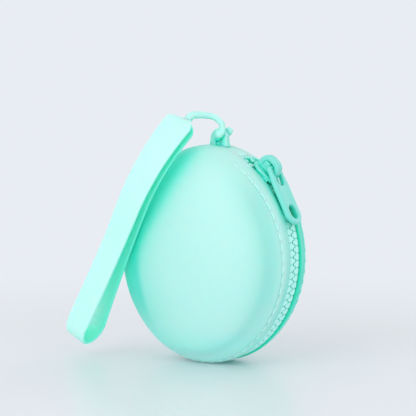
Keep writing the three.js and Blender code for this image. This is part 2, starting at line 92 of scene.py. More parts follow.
# x and height of the outline, or of a line beside it, by the direction that it faces
def rimPoint(angle, outward=0.0):
    facing = np.arctan2(np.sin(angle), np.cos(angle))
    onTop = (facing >= topJoint) & (facing <= math.pi - topJoint)
    below = (facing <= -bottomJoint) & (facing >= bottomJoint - math.pi)
    onRight = (facing > -bottomJoint) & (facing < topJoint)
    centreX = np.where(onTop | below, 0.0, np.where(onRight, -egg["sideFlattening"], egg["sideFlattening"]))
    centreZ = np.where(onTop, topCentre, np.where(below, bottomRadius, sideCentre))
    reach = np.where(onTop, topRadius, np.where(below, bottomRadius, sideRadius)) + outward
    return centreX + reach * np.cos(facing), centreZ + reach * np.sin(facing)


def onRim(angle, outward, y):
    x, z = rimPoint(angle, outward)
    return np.stack(np.broadcast_arrays(x, y, z), axis=-1)


# Point of a dome: half is -1 in front and 1 behind, depth runs from the rim, inset goes into the wall
def domePoint(half, angle, depth, inset, reach):
    share = np.clip(depth / reach, 0, 1)
    scale = (1 - share ** egg["domePower"]) ** (1 / egg["domePower"])
    x, z = rimPoint(angle, -inset)
    height = egg["domeCentre"] + scale * (z - egg["domeCentre"])
    return np.stack(np.broadcast_arrays(scale * x, half * (egg["slitHalf"] + depth), height), axis=-1)


def smoothStep(value, low, high):
    t = np.clip((value - low) / (high - low), 0, 1)
    return t * t * (3 - 2 * t)


def bump(value, middle, width):
    return np.exp(-(((value - middle) / width) ** 2))


# Arc length along the slit, measured from its top end, with the direction faced there
slitTable = {"overrun": 0.35, "steps": 4000, "pastEnds": 40.0}
slitAngles = np.linspace(
    egg["slitTop"] + slitTable["overrun"], egg["slitBottom"] - slitTable["overrun"], slitTable["steps"]
)
slitRows = np.stack(rimPoint(slitAngles), axis=-1)
slitSteps = np.linalg.norm(np.diff(slitRows, axis=0), axis=1)
slitLengths = np.concatenate([[0.0], np.cumsum(slitSteps)])
slitLengths = slitLengths - np.interp(-egg["slitTop"], -slitAngles, slitLengths)
slitLength = float(np.interp(-egg["slitBottom"], -slitAngles, slitLengths))


def slitLengthAt(angle):
    facing = np.arctan2(np.sin(angle), np.cos(angle))
    past = slitTable["pastEnds"]
    return np.interp(-facing, -slitAngles, slitLengths, left=-past, right=slitLength + past)


# 1 along the slit and 0 past its ends, with a fade at each
def alongSlit(lengths, topFade, lowFade):
    return smoothStep(lengths, *topFade) * (1 - smoothStep(lengths, *(slitLength + np.array(lowFade))))


# Meshes, with the angle in degrees past which an edge shows
sharpEdge = {"skin": 50, "round": 60, "plate": 40, "tooth": 35}
mergeDistance = 1e-6


def gridQuads(rows, cols, looped=False, first=0):
    r = np.arange(rows - 1)[:, None]
    c = np.arange(cols if looped else cols - 1)[None, :]
    here = first + r * cols + c
    beside = first + r * cols + (c + 1) % cols
    return np.stack([here, beside, beside + cols, here + cols], axis=-1).reshape(-1, 4).tolist()


# Masks are values on a piece's first points, by which its material tells them apart
def makePiece(name, points, faces, material, sharp, masks=None):
    mesh = bpy.data.meshes.new(name)
    mesh.from_pydata(toRow(points).tolist(), [], faces)
    for label, values in (masks or {}).items():
        mask = np.zeros(len(points), dtype=np.float32)
        mask[: np.size(values)] = np.ravel(values)
        mesh.attributes.new(label, "FLOAT", "POINT").data.foreach_set("value", mask)
    shape = bmesh.new()
    shape.from_mesh(mesh)
    bmesh.ops.remove_doubles(shape, verts=shape.verts, dist=mergeDistance)
    bmesh.ops.recalc_face_normals(shape, faces=shape.faces)
    shape.to_mesh(mesh)
    shape.free()
    mesh.materials.append(material)
    mesh.shade_smooth()
    mesh.set_sharp_from_angle(angle=sharpEdge[sharp] * deg)
    piece = bpy.data.objects.new(name, mesh)
    bpy.context.scene.collection.objects.link(piece)
    return piece


# Closed skin between an outer and an inner grid: row 0 is the rim, and the last row closes on a pole
def domeSolid(outer, inner):
    cols = outer.shape[1]
    points = [outer.reshape(-1, 3), inner.reshape(-1, 3)]
    innerFirst = outer.shape[0] * cols
    faces = gridQuads(outer.shape[0], cols, True) + gridQuads(inner.shape[0], cols, True, innerFirst)
    for c in range(cols):
        d = (c + 1) % cols
        faces.append([c, d, innerFirst + d, innerFirst + c])
    poles = np.array([outer[-1].mean(axis=0), inner[-1].mean(axis=0)])
    poleFirst = innerFirst + inner.shape[0] * cols
    for pole, last in ((0, innerFirst - cols), (1, poleFirst - cols)):
        faces += [[last + c, last + (c + 1) % cols, poleFirst + pole] for c in range(cols)]
    return np.concatenate(points + [poles]), faces


# Closed slab between two grids of the same size
def slabSolid(outer, inner):
    rows, cols = outer.shape[:2]
    second = rows * cols
    faces = gridQuads(rows, cols) + gridQuads(rows, cols, False, second)
    border = [(0, c) for c in range(cols)] + [(r, cols - 1) for r in range(1, rows)]
    border += [(rows - 1, c) for c in range(cols - 2, -1, -1)] + [(r, 0) for r in range(rows - 2, 0, -1)]
    loop = [r * cols + c for r, c in border]
    for here, after in zip(loop, loop[1:] + loop[:1]):
        faces.append([here, after, second + after, second + here])
    return np.concatenate([outer.reshape(-1, 3), inner.reshape(-1, 3)]), faces


# Closed solid through a row of rings, or a loop of them
def ringSolid(rings, looped=False):
    count, sides = rings.shape[:2]
    if looped:
        rings = np.concatenate([rings, rings[:1]])
        return rings.reshape(-1, 3), gridQuads(count + 1, sides, True)
    faces = gridQuads(count, sides, True)
    faces.append(list(range(sides)))
    faces.append(list(range((count - 1) * sides, count * sides)))
    return rings.reshape(-1, 3), faces


def joinSolids(solids):
    points, faces, first = [], [], 0
    for corners, polygons in solids:
        points.append(corners)
        faces += [[first + i for i in polygon] for polygon in polygons]
        first += len(corners)
    return np.concatenate(points), faces


# Rounded rectangle, as offsets across and up
def roundedSection(halfAcross, halfUp, corner, steps=5):
    ring = []
    for quarter, (sx, sy) in enumerate(((1, 1), (-1, 1), (-1, -1), (1, -1))):
        for i in range(steps):
            turn = (quarter + i / (steps - 1)) * math.pi / 2
            ring.append((
                sx * (halfAcross - corner) + corner * math.cos(turn),
                sy * (halfUp - corner) + corner * math.sin(turn),
            ))
    return np.array(ring)


# How far a rounded end draws the section in, at a distance from that end
def endDraw(distance, radius):
    left = np.clip(1 - distance / radius, 0, 1)
    return radius * (1 - np.sqrt(1 - left**2))


# Steps along a bar that follow its rounded ends, with a small flat left at each end
endFlat = 0.02


def endSteps(length, radius, middle, steps=5):
    turn = np.linspace(0, math.pi / 2, steps)
    start = radius * (1 - np.cos(turn))
    start[0] = radius * endFlat
    between = np.linspace(radius, length - radius, middle)
    return np.concatenate([start[:-1], between, (length - start[::-1])[1:]])


# Tube along a path, with a section that can change along it
def tubeRings(path, section, up=(0, 1, 0)):
    path = np.asarray(path, float)
    along = np.gradient(path, axis=0)
    along /= np.linalg.norm(along, axis=1)[:, None]
    side = np.cross(np.array(up, float), along[0])
    side /= np.linalg.norm(side)
    rings = []
    for i, point in enumerate(path):
        side = side - along[i] * side.dot(along[i])
        side /= np.linalg.norm(side)
        top = np.cross(along[i], side)
        offsets = section(i / (len(path) - 1))
        rings.append(point + offsets[:, :1] * side + offsets[:, 1:] * top)
    return np.array(rings)


def roundSection(radius, sides=20):
    turn = np.arange(sides) / sides * 2 * math.pi
    return np.stack([radius * np.cos(turn), radius * np.sin(turn)], axis=-1)


# Smooth curve through given points
def smoothPath(points, steps):
    knots = np.asarray(points, float)
    ends = np.concatenate([[2 * knots[0] - knots[1]], knots, [2 * knots[-1] - knots[-2]]])
    rows = []
    for i in range(len(knots) - 1):
        a, b, c, d = ends[i:i + 4]
        t = np.linspace(0, 1, steps, endpoint=False)[:, None]
        rows.append(0.5 * (2 * b + (c - a) * t + (2 * a - 5 * b + 4 * c - d) * t**2
                           + (3 * b - a - 3 * c + d) * t**3))
    return np.concatenate(rows + [knots[-1:]])


# Materials


# Linear colour from a screen colour
def shade(hexColour):
    parts = [int(hexColour[i:i + 2], 16) / 255 for i in (0, 2, 4)]
    linear = [p / 12.92 if p <= 0.04045 else ((p + 0.055) / 1.055) ** 2.4 for p in parts]
    return (*linear, 1.0)


def newGroup(name, inputs, outputs):
    group = bpy.data.node_groups.new(name, "ShaderNodeTree")
    for label, kind, value in inputs:
        socket = group.interface.new_socket(label, in_out="INPUT", socket_type=kind)
        socket.default_value = value
    for label, kind in outputs:
        group.interface.new_socket(label, in_out="OUTPUT", socket_type=kind)
    return group, group.nodes.new("NodeGroupInput"), group.nodes.new("NodeGroupOutput")


def mathNode(tree, operation, first, second):
    node = tree.nodes.new("ShaderNodeMath")
    node.operation = operation
    for socket, value in zip(node.inputs, (first, second)):
        if isinstance(value, (int, float)):
            socket.default_value = value
        else:
            tree.links.new(value, socket)
    return node.outputs[0]


def mixColour(tree, factor, first, second):
    node = tree.nodes.new("ShaderNodeMix")
    node.data_type = "RGBA"
    for socket, value in zip((node.inputs[0], node.inputs[6], node.inputs[7]), (factor, first, second)):
        if isinstance(value, (int, float, tuple)):
            socket.default_value = value
        else:
            tree.links.new(value, socket)
    return node.outputs[2]


def noiseNode(tree, vector, scale, detail):
    node = tree.nodes.new("ShaderNodeTexNoise")
    node.inputs["Detail"].default_value = detail
    tree.links.new(vector, node.inputs["Vector"])
    if isinstance(scale, (int, float)):
        node.inputs["Scale"].default_value = scale
    else:
        tree.links.new(scale, node.inputs["Scale"])
    return node.outputs["Fac"]


noiseDetail = {"clouds": 3.0, "grain": 2.0, "yarn": 1.0}
yarnWaver = 1.5
greyColour = (0.5, 0.5, 0.5, 1)


# Moulded surface: faint clouds of colour, a fine matt grain and a height for it
def mouldedGroup():
    group, given, made = newGroup(
        "mouldedSurface",
        [
            ("Colour", "NodeSocketColor", greyColour),
            ("Cloud Colour", "NodeSocketColor", greyColour),
            ("Cloud Scale", "NodeSocketFloat", 30.0),
            ("Grain Scale", "NodeSocketFloat", 2500.0),
            ("Roughness", "NodeSocketFloat", 0.5),
            ("Roughness Spread", "NodeSocketFloat", 0.1),
        ],
        [("Colour", "NodeSocketColor"), ("Roughness", "NodeSocketFloat"), ("Height", "NodeSocketFloat")],
    )
    coords = group.nodes.new("ShaderNodeTexCoord").outputs["Object"]
    clouds = noiseNode(group, coords, given.outputs["Cloud Scale"], noiseDetail["clouds"])
    grain = noiseNode(group, coords, given.outputs["Grain Scale"], noiseDetail["grain"])
    evenly = mathNode(group, "SUBTRACT", clouds, 0.5)
    spread = mathNode(group, "MULTIPLY", evenly, given.outputs["Roughness Spread"])
    colour = mixColour(group, clouds, given.outputs["Colour"], given.outputs["Cloud Colour"])
    group.links.new(colour, made.inputs["Colour"])
    group.links.new(mathNode(group, "ADD", given.outputs["Roughness"], spread), made.inputs["Roughness"])
    group.links.new(grain, made.inputs["Height"])
    return group


# Woven or twisted yarn: crossing ribs, with painted shade in the hollows between them
def yarnGroup():
    group, given, made = newGroup(
        "yarnSurface",
        [
            ("Colour", "NodeSocketColor", greyColour),
            ("Hollow Shade Colour", "NodeSocketColor", greyColour),
            ("Rib Scale", "NodeSocketFloat", 400.0),
        ],
        [("Colour", "NodeSocketColor"), ("Height", "NodeSocketFloat")],
    )
    coords = group.nodes.new("ShaderNodeTexCoord").outputs["Object"]
    ribs = []
    for direction in ("X", "Y", "Z"):
        wave = group.nodes.new("ShaderNodeTexWave")
        wave.bands_direction = direction
        wave.inputs["Distortion"].default_value = yarnWaver
        wave.inputs["Detail"].default_value = noiseDetail["yarn"]
        group.links.new(coords, wave.inputs["Vector"])
        group.links.new(given.outputs["Rib Scale"], wave.inputs["Scale"])
        ribs.append(wave.outputs["Fac"])
    total = mathNode(group, "ADD", mathNode(group, "ADD", ribs[0], ribs[1]), ribs[2])
    height = mathNode(group, "MULTIPLY", total, 1 / len(ribs))
    colour = mixColour(group, height, given.outputs["Hollow Shade Colour"], given.outputs["Colour"])
    group.links.new(colour, made.inputs["Colour"])
    group.links.new(height, made.inputs["Height"])
    return group


mouldedSurface = mouldedGroup()
yarnSurface = yarnGroup()


def newMaterial(name, group, values, bumpDistance, bumpStrength, fixedValues):
    material = bpy.data.materials.new(name)
    material.use_nodes = True
    tree = material.node_tree
    shader = tree.nodes["Principled BSDF"]
    surface = tree.nodes.new("ShaderNodeGroup")
    surface.node_tree = group
    for label, value in values.items():
        surface.inputs[label].default_value = value
    tree.links.new(surface.outputs["Colour"], shader.inputs["Base Color"])
    if "Roughness" in surface.outputs:
        tree.links.new(surface.outputs["Roughness"], shader.inputs["Roughness"])
    bumpNode = tree.nodes.new("ShaderNodeBump")
    bumpNode.inputs["Distance"].default_value = bumpDistance
    bumpNode.inputs["Strength"].default_value = bumpStrength
    tree.links.new(surface.outputs["Height"], bumpNode.inputs["Height"])
    tree.links.new(bumpNode.outputs["Normal"], shader.inputs["Normal"])
    for label, value in fixedValues.items():
        shader.inputs[label].default_value = value
    return material


siliconeLook = {
    # Colours of painted shade: in hollows, at edges, in the slit and inside the strap's loop
    "hollowShadeColour": "30f0d8",
    "edgeShadeColour": "3ad0bc",
    "slit": "08d6b4",
    "loopShadeColour": "6cf2d8",
    "cloudScale": 28.0,
    "grainScale": 3200.0,
    "grainHeight": 0.00004,
    "grainStrength": 0.35,
    "roughness": 0.55,
    "roughnessSpread": 0.12,
    "specular": 0.5,
    "coat": 0.15,
    "coatRoughness": 0.5,
    "scatterWeight": 0.75,
    "scatterRadius": (0.22, 1.0, 0.72),
    "scatterScale": 0.002,
}
# Painted shade and painted light: where hollows, walls seen edge on and the left side take a deeper colour,
# and where tops and the floor keep it pale
paintedShadeLook = {
    "samples": 8,
    "openSky": 0.95,
    "closedSky": 0.3,
    "edgeFrom": 0.1,
    "edgeTo": 0.72,
    "shadeFrom": -0.8,
    "shadeTo": -0.3,
    "shadeSide": 0.13,
    "bandDeep": -0.33,
    "bandPale": -0.15,
    "bandFrom": 0.18,
    "bandTo": 0.36,
    "bandShare": 0.97,
    "topFrom": 0.25,
    "topTo": 0.85,
    "rimShare": 0.7,
    "floorGlow": 0.031,
    "floorShare": 0.05,
}


def rangeNode(tree, value, low, high, outLow=0.0, outHigh=1.0):
    node = tree.nodes.new("ShaderNodeMapRange")
    node.interpolation_type = "SMOOTHSTEP"
    settings = (("From Min", low), ("From Max", high), ("To Min", outLow), ("To Max", outHigh))
    for label, setting in settings:
        node.inputs[label].default_value = setting
    tree.links.new(value, node.inputs["Value"])
    return node.outputs["Result"]


# Values that a piece's mesh carries, and 0 where it carries none
def maskNode(tree, name):
    node = tree.nodes.new("ShaderNodeAttribute")
    node.attribute_name = name
    return node.outputs["Fac"]


# Painted shade deepens the colour in hollows, on walls seen edge on and most of all on the left side; painted
# light keeps it pale where a wall looks up or stands near the floor
def paintShade(material, hollowShadeColour, reach, edgeShadeColour=None, edgeShare=0.0):
    look = paintedShadeLook
    tree = material.node_tree
    shader = tree.nodes["Principled BSDF"]
    colour = shader.inputs["Base Color"].links[0].from_socket
    hollow = tree.nodes.new("ShaderNodeAmbientOcclusion")
    hollow.samples = look["samples"]
    hollow.inputs["Distance"].default_value = reach
    coords = tree.nodes.new("ShaderNodeTexCoord")
    place = tree.nodes.new("ShaderNodeSeparateXYZ")
    tree.links.new(coords.outputs["Object"], place.inputs["Vector"])
    glowTop = floorHeight + look["floorGlow"]
    near = rangeNode(tree, place.outputs["Z"], floorHeight, glowTop, look["floorShare"], 1.0)
    if edgeShadeColour:
        looks = tree.nodes.new("ShaderNodeSeparateXYZ")
        tree.links.new(coords.outputs["Normal"], looks.inputs["Vector"])
        facing = tree.nodes.new("ShaderNodeLayerWeight").outputs["Facing"]
        aside = looks.outputs["X"]
        shaded = rangeNode(tree, aside, look["shadeFrom"], look["shadeTo"], look["shadeSide"], 0.0)
        edge = mathNode(tree, "ADD", facing, shaded)
        edge = rangeNode(tree, edge, look["edgeFrom"], look["edgeTo"], 0.0, edgeShare)
        bandShare = edgeShare * look["bandShare"]
        onLeft = rangeNode(tree, aside, look["bandDeep"], look["bandPale"], bandShare, 0.0)
        band = mathNode(tree, "MULTIPLY", rangeNode(tree, facing, look["bandFrom"], look["bandTo"]), onLeft)
        edge = mathNode(tree, "MAXIMUM", edge, band)
        level = rangeNode(tree, looks.outputs["Z"], look["topFrom"], look["topTo"], 1.0, 0.0)
        pale = rangeNode(tree, maskNode(tree, "rimPale"), 0.0, 1.0, 1.0, look["rimShare"])
        for share in (level, pale, near):
            edge = mathNode(tree, "MULTIPLY", edge, share)
        colour = mixColour(tree, edge, colour, shade(edgeShadeColour))
    share = rangeNode(tree, hollow.outputs["AO"], look["closedSky"], look["openSky"], 1.0, 0.0)
    deepened = mixColour(tree, mathNode(tree, "MULTIPLY", share, near), colour, shade(hollowShadeColour))
    tree.links.new(deepened, shader.inputs["Base Color"])


# Painted shade: where the mesh's mask says so, silicone takes a deeper colour
def paintShadeByMask(material, mask, hexColour):
    tree = material.node_tree
    shader = tree.nodes["Principled BSDF"]
    colour = shader.inputs["Base Color"].links[0].from_socket
    colour = mixColour(tree, maskNode(tree, mask), colour, shade(hexColour))
    tree.links.new(colour, shader.inputs["Base Color"])


def siliconeMaterial(name, colour, cloud, reach, edgeShare):
    look = siliconeLook
    material = newMaterial(
        name,
        mouldedSurface,
        {
            "Colour": shade(colour),
            "Cloud Colour": shade(cloud),
            "Cloud Scale": look["cloudScale"],
            "Grain Scale": look["grainScale"],
            "Roughness": look["roughness"],
            "Roughness Spread": look["roughnessSpread"],
        },
        look["grainHeight"],
        look["grainStrength"],
        {
            "Subsurface Weight": look["scatterWeight"],
            "Subsurface Radius": look["scatterRadius"],
            "Subsurface Scale": look["scatterScale"],
            "Specular IOR Level": look["specular"],
            "Coat Weight": look["coat"],
            "Coat Roughness": look["coatRoughness"],
        },
    )
    paintShade(material, look["hollowShadeColour"], reach, look["edgeShadeColour"], edgeShare)
    return material


# Each silicone has a colour, a cloud colour, the reach of its painted hollow shade and a share of painted
# edge shade
bodySilicone = siliconeMaterial("bodySilicone", "ade1da", "b4e4de", reach=0.018, edgeShare=0.95)
# Painted shade in the fold beside the flange and along the rear rim's edge in the slit
paintShadeByMask(bodySilicone, "foldShade", siliconeLook["edgeShadeColour"])
paintShadeByMask(bodySilicone, "slitShade", siliconeLook["slit"])
# Painted light: the strap takes a paler copy of the body's silicone colour
strapSilicone = siliconeMaterial("strapSilicone", "b6e7e1", "bceae4", reach=0.012, edgeShare=0.1)
# Painted shade inside the strap's loop
paintShadeByMask(strapSilicone, "loopShade", siliconeLook["loopShadeColour"])
eyeSilicone = siliconeMaterial("eyeSilicone", "ade1da", "b4e4de", reach=0.005, edgeShare=0.6)
linkSilicone = siliconeMaterial("linkSilicone", "b0e4dd", "b7e7e1", reach=0.004, edgeShare=0.5)
zipPlastic = newMaterial(
    "zipPlastic",
    mouldedSurface,
    {
        "Colour": shade("aaefe8"),
        "Cloud Colour": shade("b3f2ec"),
        "Cloud Scale": 150.0,
        "Grain Scale": 5000.0,
        "Roughness": 0.36,
        "Roughness Spread": 0.15,
    },
    bumpDistance=0.00002,
    bumpStrength=0.3,
    fixedValues={"Specular IOR Level": 0.5},
)
sliderPaint = newMaterial(
    "sliderPaint",
    mouldedSurface,
    {
        "Colour": shade("6fd2c6"),
        "Cloud Colour": shade("79d7cc"),
        "Cloud Scale": 90.0,
        "Grain Scale": 4200.0,
        "Roughness": 0.38,
        "Roughness Spread": 0.18,
    },
    bumpDistance=0.00003,
    bumpStrength=0.3,
    fixedValues={"Specular IOR Level": 0.5, "Coat Weight": 0.15, "Coat Roughness": 0.3},
)
# The hollow colours of the tape and the thread are painted shade
tapeYarn = newMaterial(
    "tapeYarn",
    yarnSurface,
    {"Colour": shade("7fe6d8"), "Hollow Shade Colour": shade("2fcbb4"), "Rib Scale": 420.0},
    bumpDistance=0.0002,
    bumpStrength=0.6,
    fixedValues={"Roughness": 0.85, "Sheen Weight": 0.3, "Sheen Roughness": 0.5},
)
sewingThread = newMaterial(
    "sewingThread",
    yarnSurface,
    {"Colour": shade("d4f7f2"), "Hollow Shade Colour": shade("a6e8e0"), "Rib Scale": 900.0},
    bumpDistance=0.0001,
    bumpStrength=0.5,
    fixedValues={"Roughness": 0.7, "Sheen Weight": 0.3, "Sheen Roughness": 0.5},
)
# Painted shade in the hollows of the zip teeth, the slider and the tape
paintShade(zipPlastic, "1cd6bc", reach=0.004)
paintShade(sliderPaint, "24dcc4", reach=0.006)
paintShade(tapeYarn, "14bda4", reach=0.005)
print("materials made")


def onRear(piece):
    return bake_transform(piece)


# Domed halves, with their sewn rims
sewnRim = {
    "columns": 600,
    "edgeRows": 6,
    "topFade": (-1.0, 4.0),
    "lowFade": (-4.0, 1.0),
    "edgeRound": 0.8,
    "frontRound": 0.45,
    "seamRound": 0.02,
    "foldAt": 9.4,
    "foldWidth": 3.2,
    "foldDepth": 1.5,
    "foldTopFade": (-4.0, 30.0),
    "foldLowFade": (-14.0, 4.0),
    "stitchInset": 4.2,
    "topInset": 6.6,
    "topFrom": 6.0,
    "topTo": 58.0,
    "stitchPitch": 4.5,
    "lineDepth": 0.28,
    "lineWidth": 0.6,
    "holeDepth": 0.2,
    "holeWidth": 0.55,
    "rearLift": 0.8,
    "frontDip": 0.35,
    "liftAt": 4.5,
    "liftLength": 4.0,
    "liftFade": 4.0,
    "shadeTop": 1.0,
    "shadeLow": 1.5,
    "shadeFade": (30.0, 80.0),
    "shadeSolid": 0.5,
    "paleFrom": 4.2,
    "paleTo": 6.5,
    "foldShade": 0.34,
    "foldFrom": (4.5, 8.0),
    "foldTo": (9.5, 17.0),
    "foldHeights": (2.0, 34.0),
    "fineDepth": 13.0,
    "fineRows": 36,
    "firstRow": 0.004,
    "domeRows": 26,
    "innerRows": 22,
}


# The stitches run further from the rim towards the top of the slit
def stitchDepth(lengths):
    low, high = sewnRim["topFrom"], sewnRim["topTo"]
    share = np.clip((lengths - low) / (high - low), 0, 1)
    return sewnRim["topInset"] + (sewnRim["stitchInset"] - sewnRim["topInset"]) * share


def domedHalf(name, half, material):
    size = sewnRim
    angles = np.arange(size["columns"]) / size["columns"] * 2 * math.pi - math.pi
    lengths = slitLengthAt(angles)
    sewn = alongSlit(lengths, size["topFade"], size["lowFade"])
    folded = alongSlit(lengths, size["foldTopFade"], size["foldLowFade"])
    edgeRound = size["edgeRound"] if half > 0 else size["frontRound"]
    rounding = size["seamRound"] + (edgeRound - size["seamRound"]) * sewn
    shadeShare = smoothStep(lengths, *size["shadeFade"])
    shadeTo = size["shadeTop"] + (size["shadeLow"] - size["shadeTop"]) * shadeShare
    foldStrength = size["foldShade"] * folded * smoothStep(rimPoint(angles)[1], *size["foldHeights"])
    masks = {"slitShade": [], "foldShade": [], "rimPale": []}
    rows = []

    # Masks of painted shade: along the rear rim's edge in the slit, and in the fold. The front rim's flange
    # keeps less of the painted edge shade
    def addRow(depth, inset):
        edge = 1 - smoothStep(depth, shadeTo * size["shadeSolid"], shadeTo)
        inFold = smoothStep(depth, *size["foldFrom"]) * (1 - smoothStep(depth, *size["foldTo"]))
        pale = 1 - smoothStep(depth, size["paleFrom"], size["paleTo"])
        masks["slitShade"].append(sewn * edge * (half > 0))
        masks["foldShade"].append(foldStrength * inFold)
        masks["rimPale"].append(sewn * pale * (half < 0))
        rows.append(domePoint(half, angles, depth, inset, egg["domeDepth"]))

    def foldInset(depth):
        return folded * size["foldDepth"] * bump(depth, size["foldAt"], size["foldWidth"])

    inHole = np.abs((lengths / size["stitchPitch"]) % 1 - 0.5) * size["stitchPitch"]
    holes = bump(inHole, size["stitchPitch"] / 2, size["holeWidth"])
    lift = size["rearLift"] if half > 0 else -size["frontDip"]
    lift = lift * bump(lengths, size["liftAt"], size["liftLength"])
    for turn in np.linspace(0, math.pi / 2, size["edgeRows"]):
        addRow(rounding * (1 - math.cos(turn)), rounding * (1 - math.sin(turn)) - lift)
    for share in np.concatenate([[size["firstRow"]], np.linspace(0, 1, size["fineRows"] + 1)[1:]]):
        depth = rounding + (size["fineDepth"] - rounding) * share
        line = bump(depth, stitchDepth(lengths), size["lineWidth"])
        inset = foldInset(depth) + sewn * line * (size["lineDepth"] + size["holeDepth"] * holes)
        addRow(depth, inset - lift * (1 - smoothStep(depth, 0, size["liftFade"])))
    power = 2 / egg["domePower"]
    firstTurn = math.asin((size["fineDepth"] / egg["domeDepth"]) ** (1 / power))
    for turn in np.linspace(firstTurn, math.pi / 2, size["domeRows"] + 1)[1:-1]:
        depth = np.full_like(angles, egg["domeDepth"] * math.sin(turn) ** power)
        addRow(depth, foldInset(depth))
    inside = []
    innerReach = egg["domeDepth"] - egg["wall"]
    for turn in np.linspace(0, math.pi / 2, size["innerRows"] + 1)[:-1]:
        depth = np.full_like(angles, innerReach * math.sin(turn) ** power)
        inside.append(domePoint(half, angles, depth, egg["wall"], innerReach))
    return makePiece(name, *domeSolid(np.array(rows), np.array(inside)), material, "skin", masks)


frontSkin = domedHalf("front_skin", -1, bodySilicone)
rearSkin = domedHalf("rear_skin", 1, bodySilicone)
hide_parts("front_shell")
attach(frontSkin, "front_half")
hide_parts("rear_shell")
onRear(rearSkin)
print("domed halves made")

# Side wall over the top and down the left side, with rounded slit ends
sideWall = {
    "corner": 2.2,
    "edgeRound": 0.7,
    "edgeSteps": 6,
    "rows": 25,
    "columns": 300,
    "tuckFrom": 0.02,
    "tuck": 0.5,
    "tuckDepth": 0.07,
}


def wallSheet(outward, ys, rounding):
    size = sideWall
    over = np.clip(np.abs(ys) - (egg["slitHalf"] - size["corner"]), 0, size["corner"])
    draw = size["corner"] - np.sqrt(np.clip(size["corner"] ** 2 - over**2, 0, None))
    middle = np.linspace(0, 1, size["columns"])
    turn = np.linspace(0, math.pi / 2, size["edgeSteps"])[:-1]
    rows = []
    for y, back in zip(ys, draw):
        top = egg["slitTop"] - back / topRadius
        bottom = egg["slitBottom"] + 2 * math.pi + back / bottomRadius
        ends = rounding * (1 - np.cos(turn))
        between = bottom - top - rounding / topRadius - rounding / bottomRadius
        angles = np.concatenate([
            top + ends / topRadius,
            top + rounding / topRadius + between * middle,
            bottom - ends[::-1] / bottomRadius,
        ])
        drop = rounding * (1 - np.sin(turn))
        drops = np.concatenate([drop, np.zeros(size["columns"]), drop[::-1]])
        tucked = size["tuckDepth"] if abs(y) > egg["slitHalf"] else 0
        rows.append(onRim(angles, outward - (drops + tucked if outward == 0 else 0), y))
    return np.array(rows)


def sideWallPiece():
    ys = egg["slitHalf"] * np.sin(np.linspace(-math.pi / 2, math.pi / 2, sideWall["rows"]))
    tuck = egg["slitHalf"] + np.array([sideWall["tuckFrom"], sideWall["tuck"]])
    ys = np.concatenate([-tuck[::-1], ys, tuck])
    outer, inner = (wallSheet(outward, ys, sideWall["edgeRound"]) for outward in (0, -egg["wall"]))
    return makePiece("side_wall", *slabSolid(outer, inner), bodySilicone, "skin")


wallPiece = sideWallPiece()
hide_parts("hinge_wall")
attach(wallPiece, "front_half")
print("side wall made")

# Eye on the wall: an arch with rounded edges, spread feet and a low saddle between them
eye = {
    "x": 3.2,
    "width": 8.1,
    "thickness": 2.8,
    "bar": 2.7,
    "stand": 2.8,
    "corner": 0.7,
    "footSpread": 0.45,
    "footFade": 1.0,
    "sink": 0.5,
    "saddle": 1.3,
    "saddleDrawn": 0.3,
    "legSteps": 14,
    "archSteps": 40,
    "saddleSteps": 12,
}
eyeHeight = topCentre + math.sqrt(topRadius**2 - eye["x"] ** 2) + eye["stand"]


def eyePiece():
    radius = (eye["width"] - eye["bar"]) / 2
    feet = eye["stand"] + eye["sink"]
    leg = np.linspace(-feet, 0, eye["legSteps"])[:-1]
    arc = np.linspace(0, math.pi, eye["archSteps"])
    path = [(eye["x"] + radius, 0, eyeHeight + z) for z in leg]
    path += [(eye["x"] + radius * math.cos(a), 0, eyeHeight + radius * math.sin(a)) for a in arc]
    path += [(eye["x"] - radius, 0, eyeHeight + z) for z in leg[::-1]]
    path = np.array(path)
    surface = topCentre + np.sqrt(topRadius**2 - path[:, 0] ** 2)
    above = np.clip(path[:, 2] - surface, 0, None)

    def section(share):
        i = int(round(share * (len(path) - 1)))
        grow = eye["footSpread"] * math.exp(-above[i] / eye["footFade"])
        return roundedSection(eye["bar"] / 2 + grow, eye["thickness"] / 2 + grow, eye["corner"])

    across = np.linspace(-radius, radius, eye["saddleSteps"]) + eye["x"]
    saddleLine = topCentre + np.sqrt(topRadius**2 - across**2) + (eye["saddle"] - eye["sink"]) / 2
    saddlePath = np.stack([across, np.zeros_like(across), saddleLine], axis=-1)
    saddleHalf = (eye["saddle"] + eye["sink"]) / 2
    saddleSection = roundedSection(saddleHalf, eye["thickness"] / 2 - eye["saddleDrawn"], eye["corner"])
    saddle = ringSolid(tubeRings(saddlePath, lambda share: saddleSection))
    solids = [ringSolid(tubeRings(path, section)), saddle]
    return makePiece("strap_eye_arch", *joinSolids(solids), eyeSilicone, "round")


eyeArch = eyePiece()
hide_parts("strap_eye")
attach(eyeArch, "front_half")

# Wrist strap: one flat band folded into a closed loop, its top end uneven where it twists
band = {
    "width": 10.4,
    "corner": 2.6,
    "rightCorner": 4.8,
    "foldNarrow": 1.2,
    "narrowFrom": (96.0, 108.0),
    "topDrop": 1.0,
    "dropFade": 20.0,
    "topWiden": 2.4,
    "widenFade": 60.0,
    "topSlant": 2.0,
    "slantFade": 16.0,
    "thickness": 1.4,
    "length": 108.0,
    "topGap": 4.6,
    "foldGap": 13.8,
    "spread": 2.8,
    "curlLength": 43.5,
    "curl": 45 * deg,
    "aside": 6.4,
    "forward": 13.0,
    "above": 8.0,
    "turn": (5.5 * deg, 28.5 * deg, 3.4 * deg),
    "edgeRound": 0.55,
    "edgeSteps": 6,
    "insideFrom": (-0.2, 0.3),
    "deepRight": 0.8,
    "paleLeft": -0.35,
    "foldShade": 0.9,
    "foldFrom": (102.0, 106.5),
    "runs": 90,
    "runPower": 1.5,
    "turns": 28,
    "topTurns": 14,
}
turnX, turnY, turnZ = band["turn"]
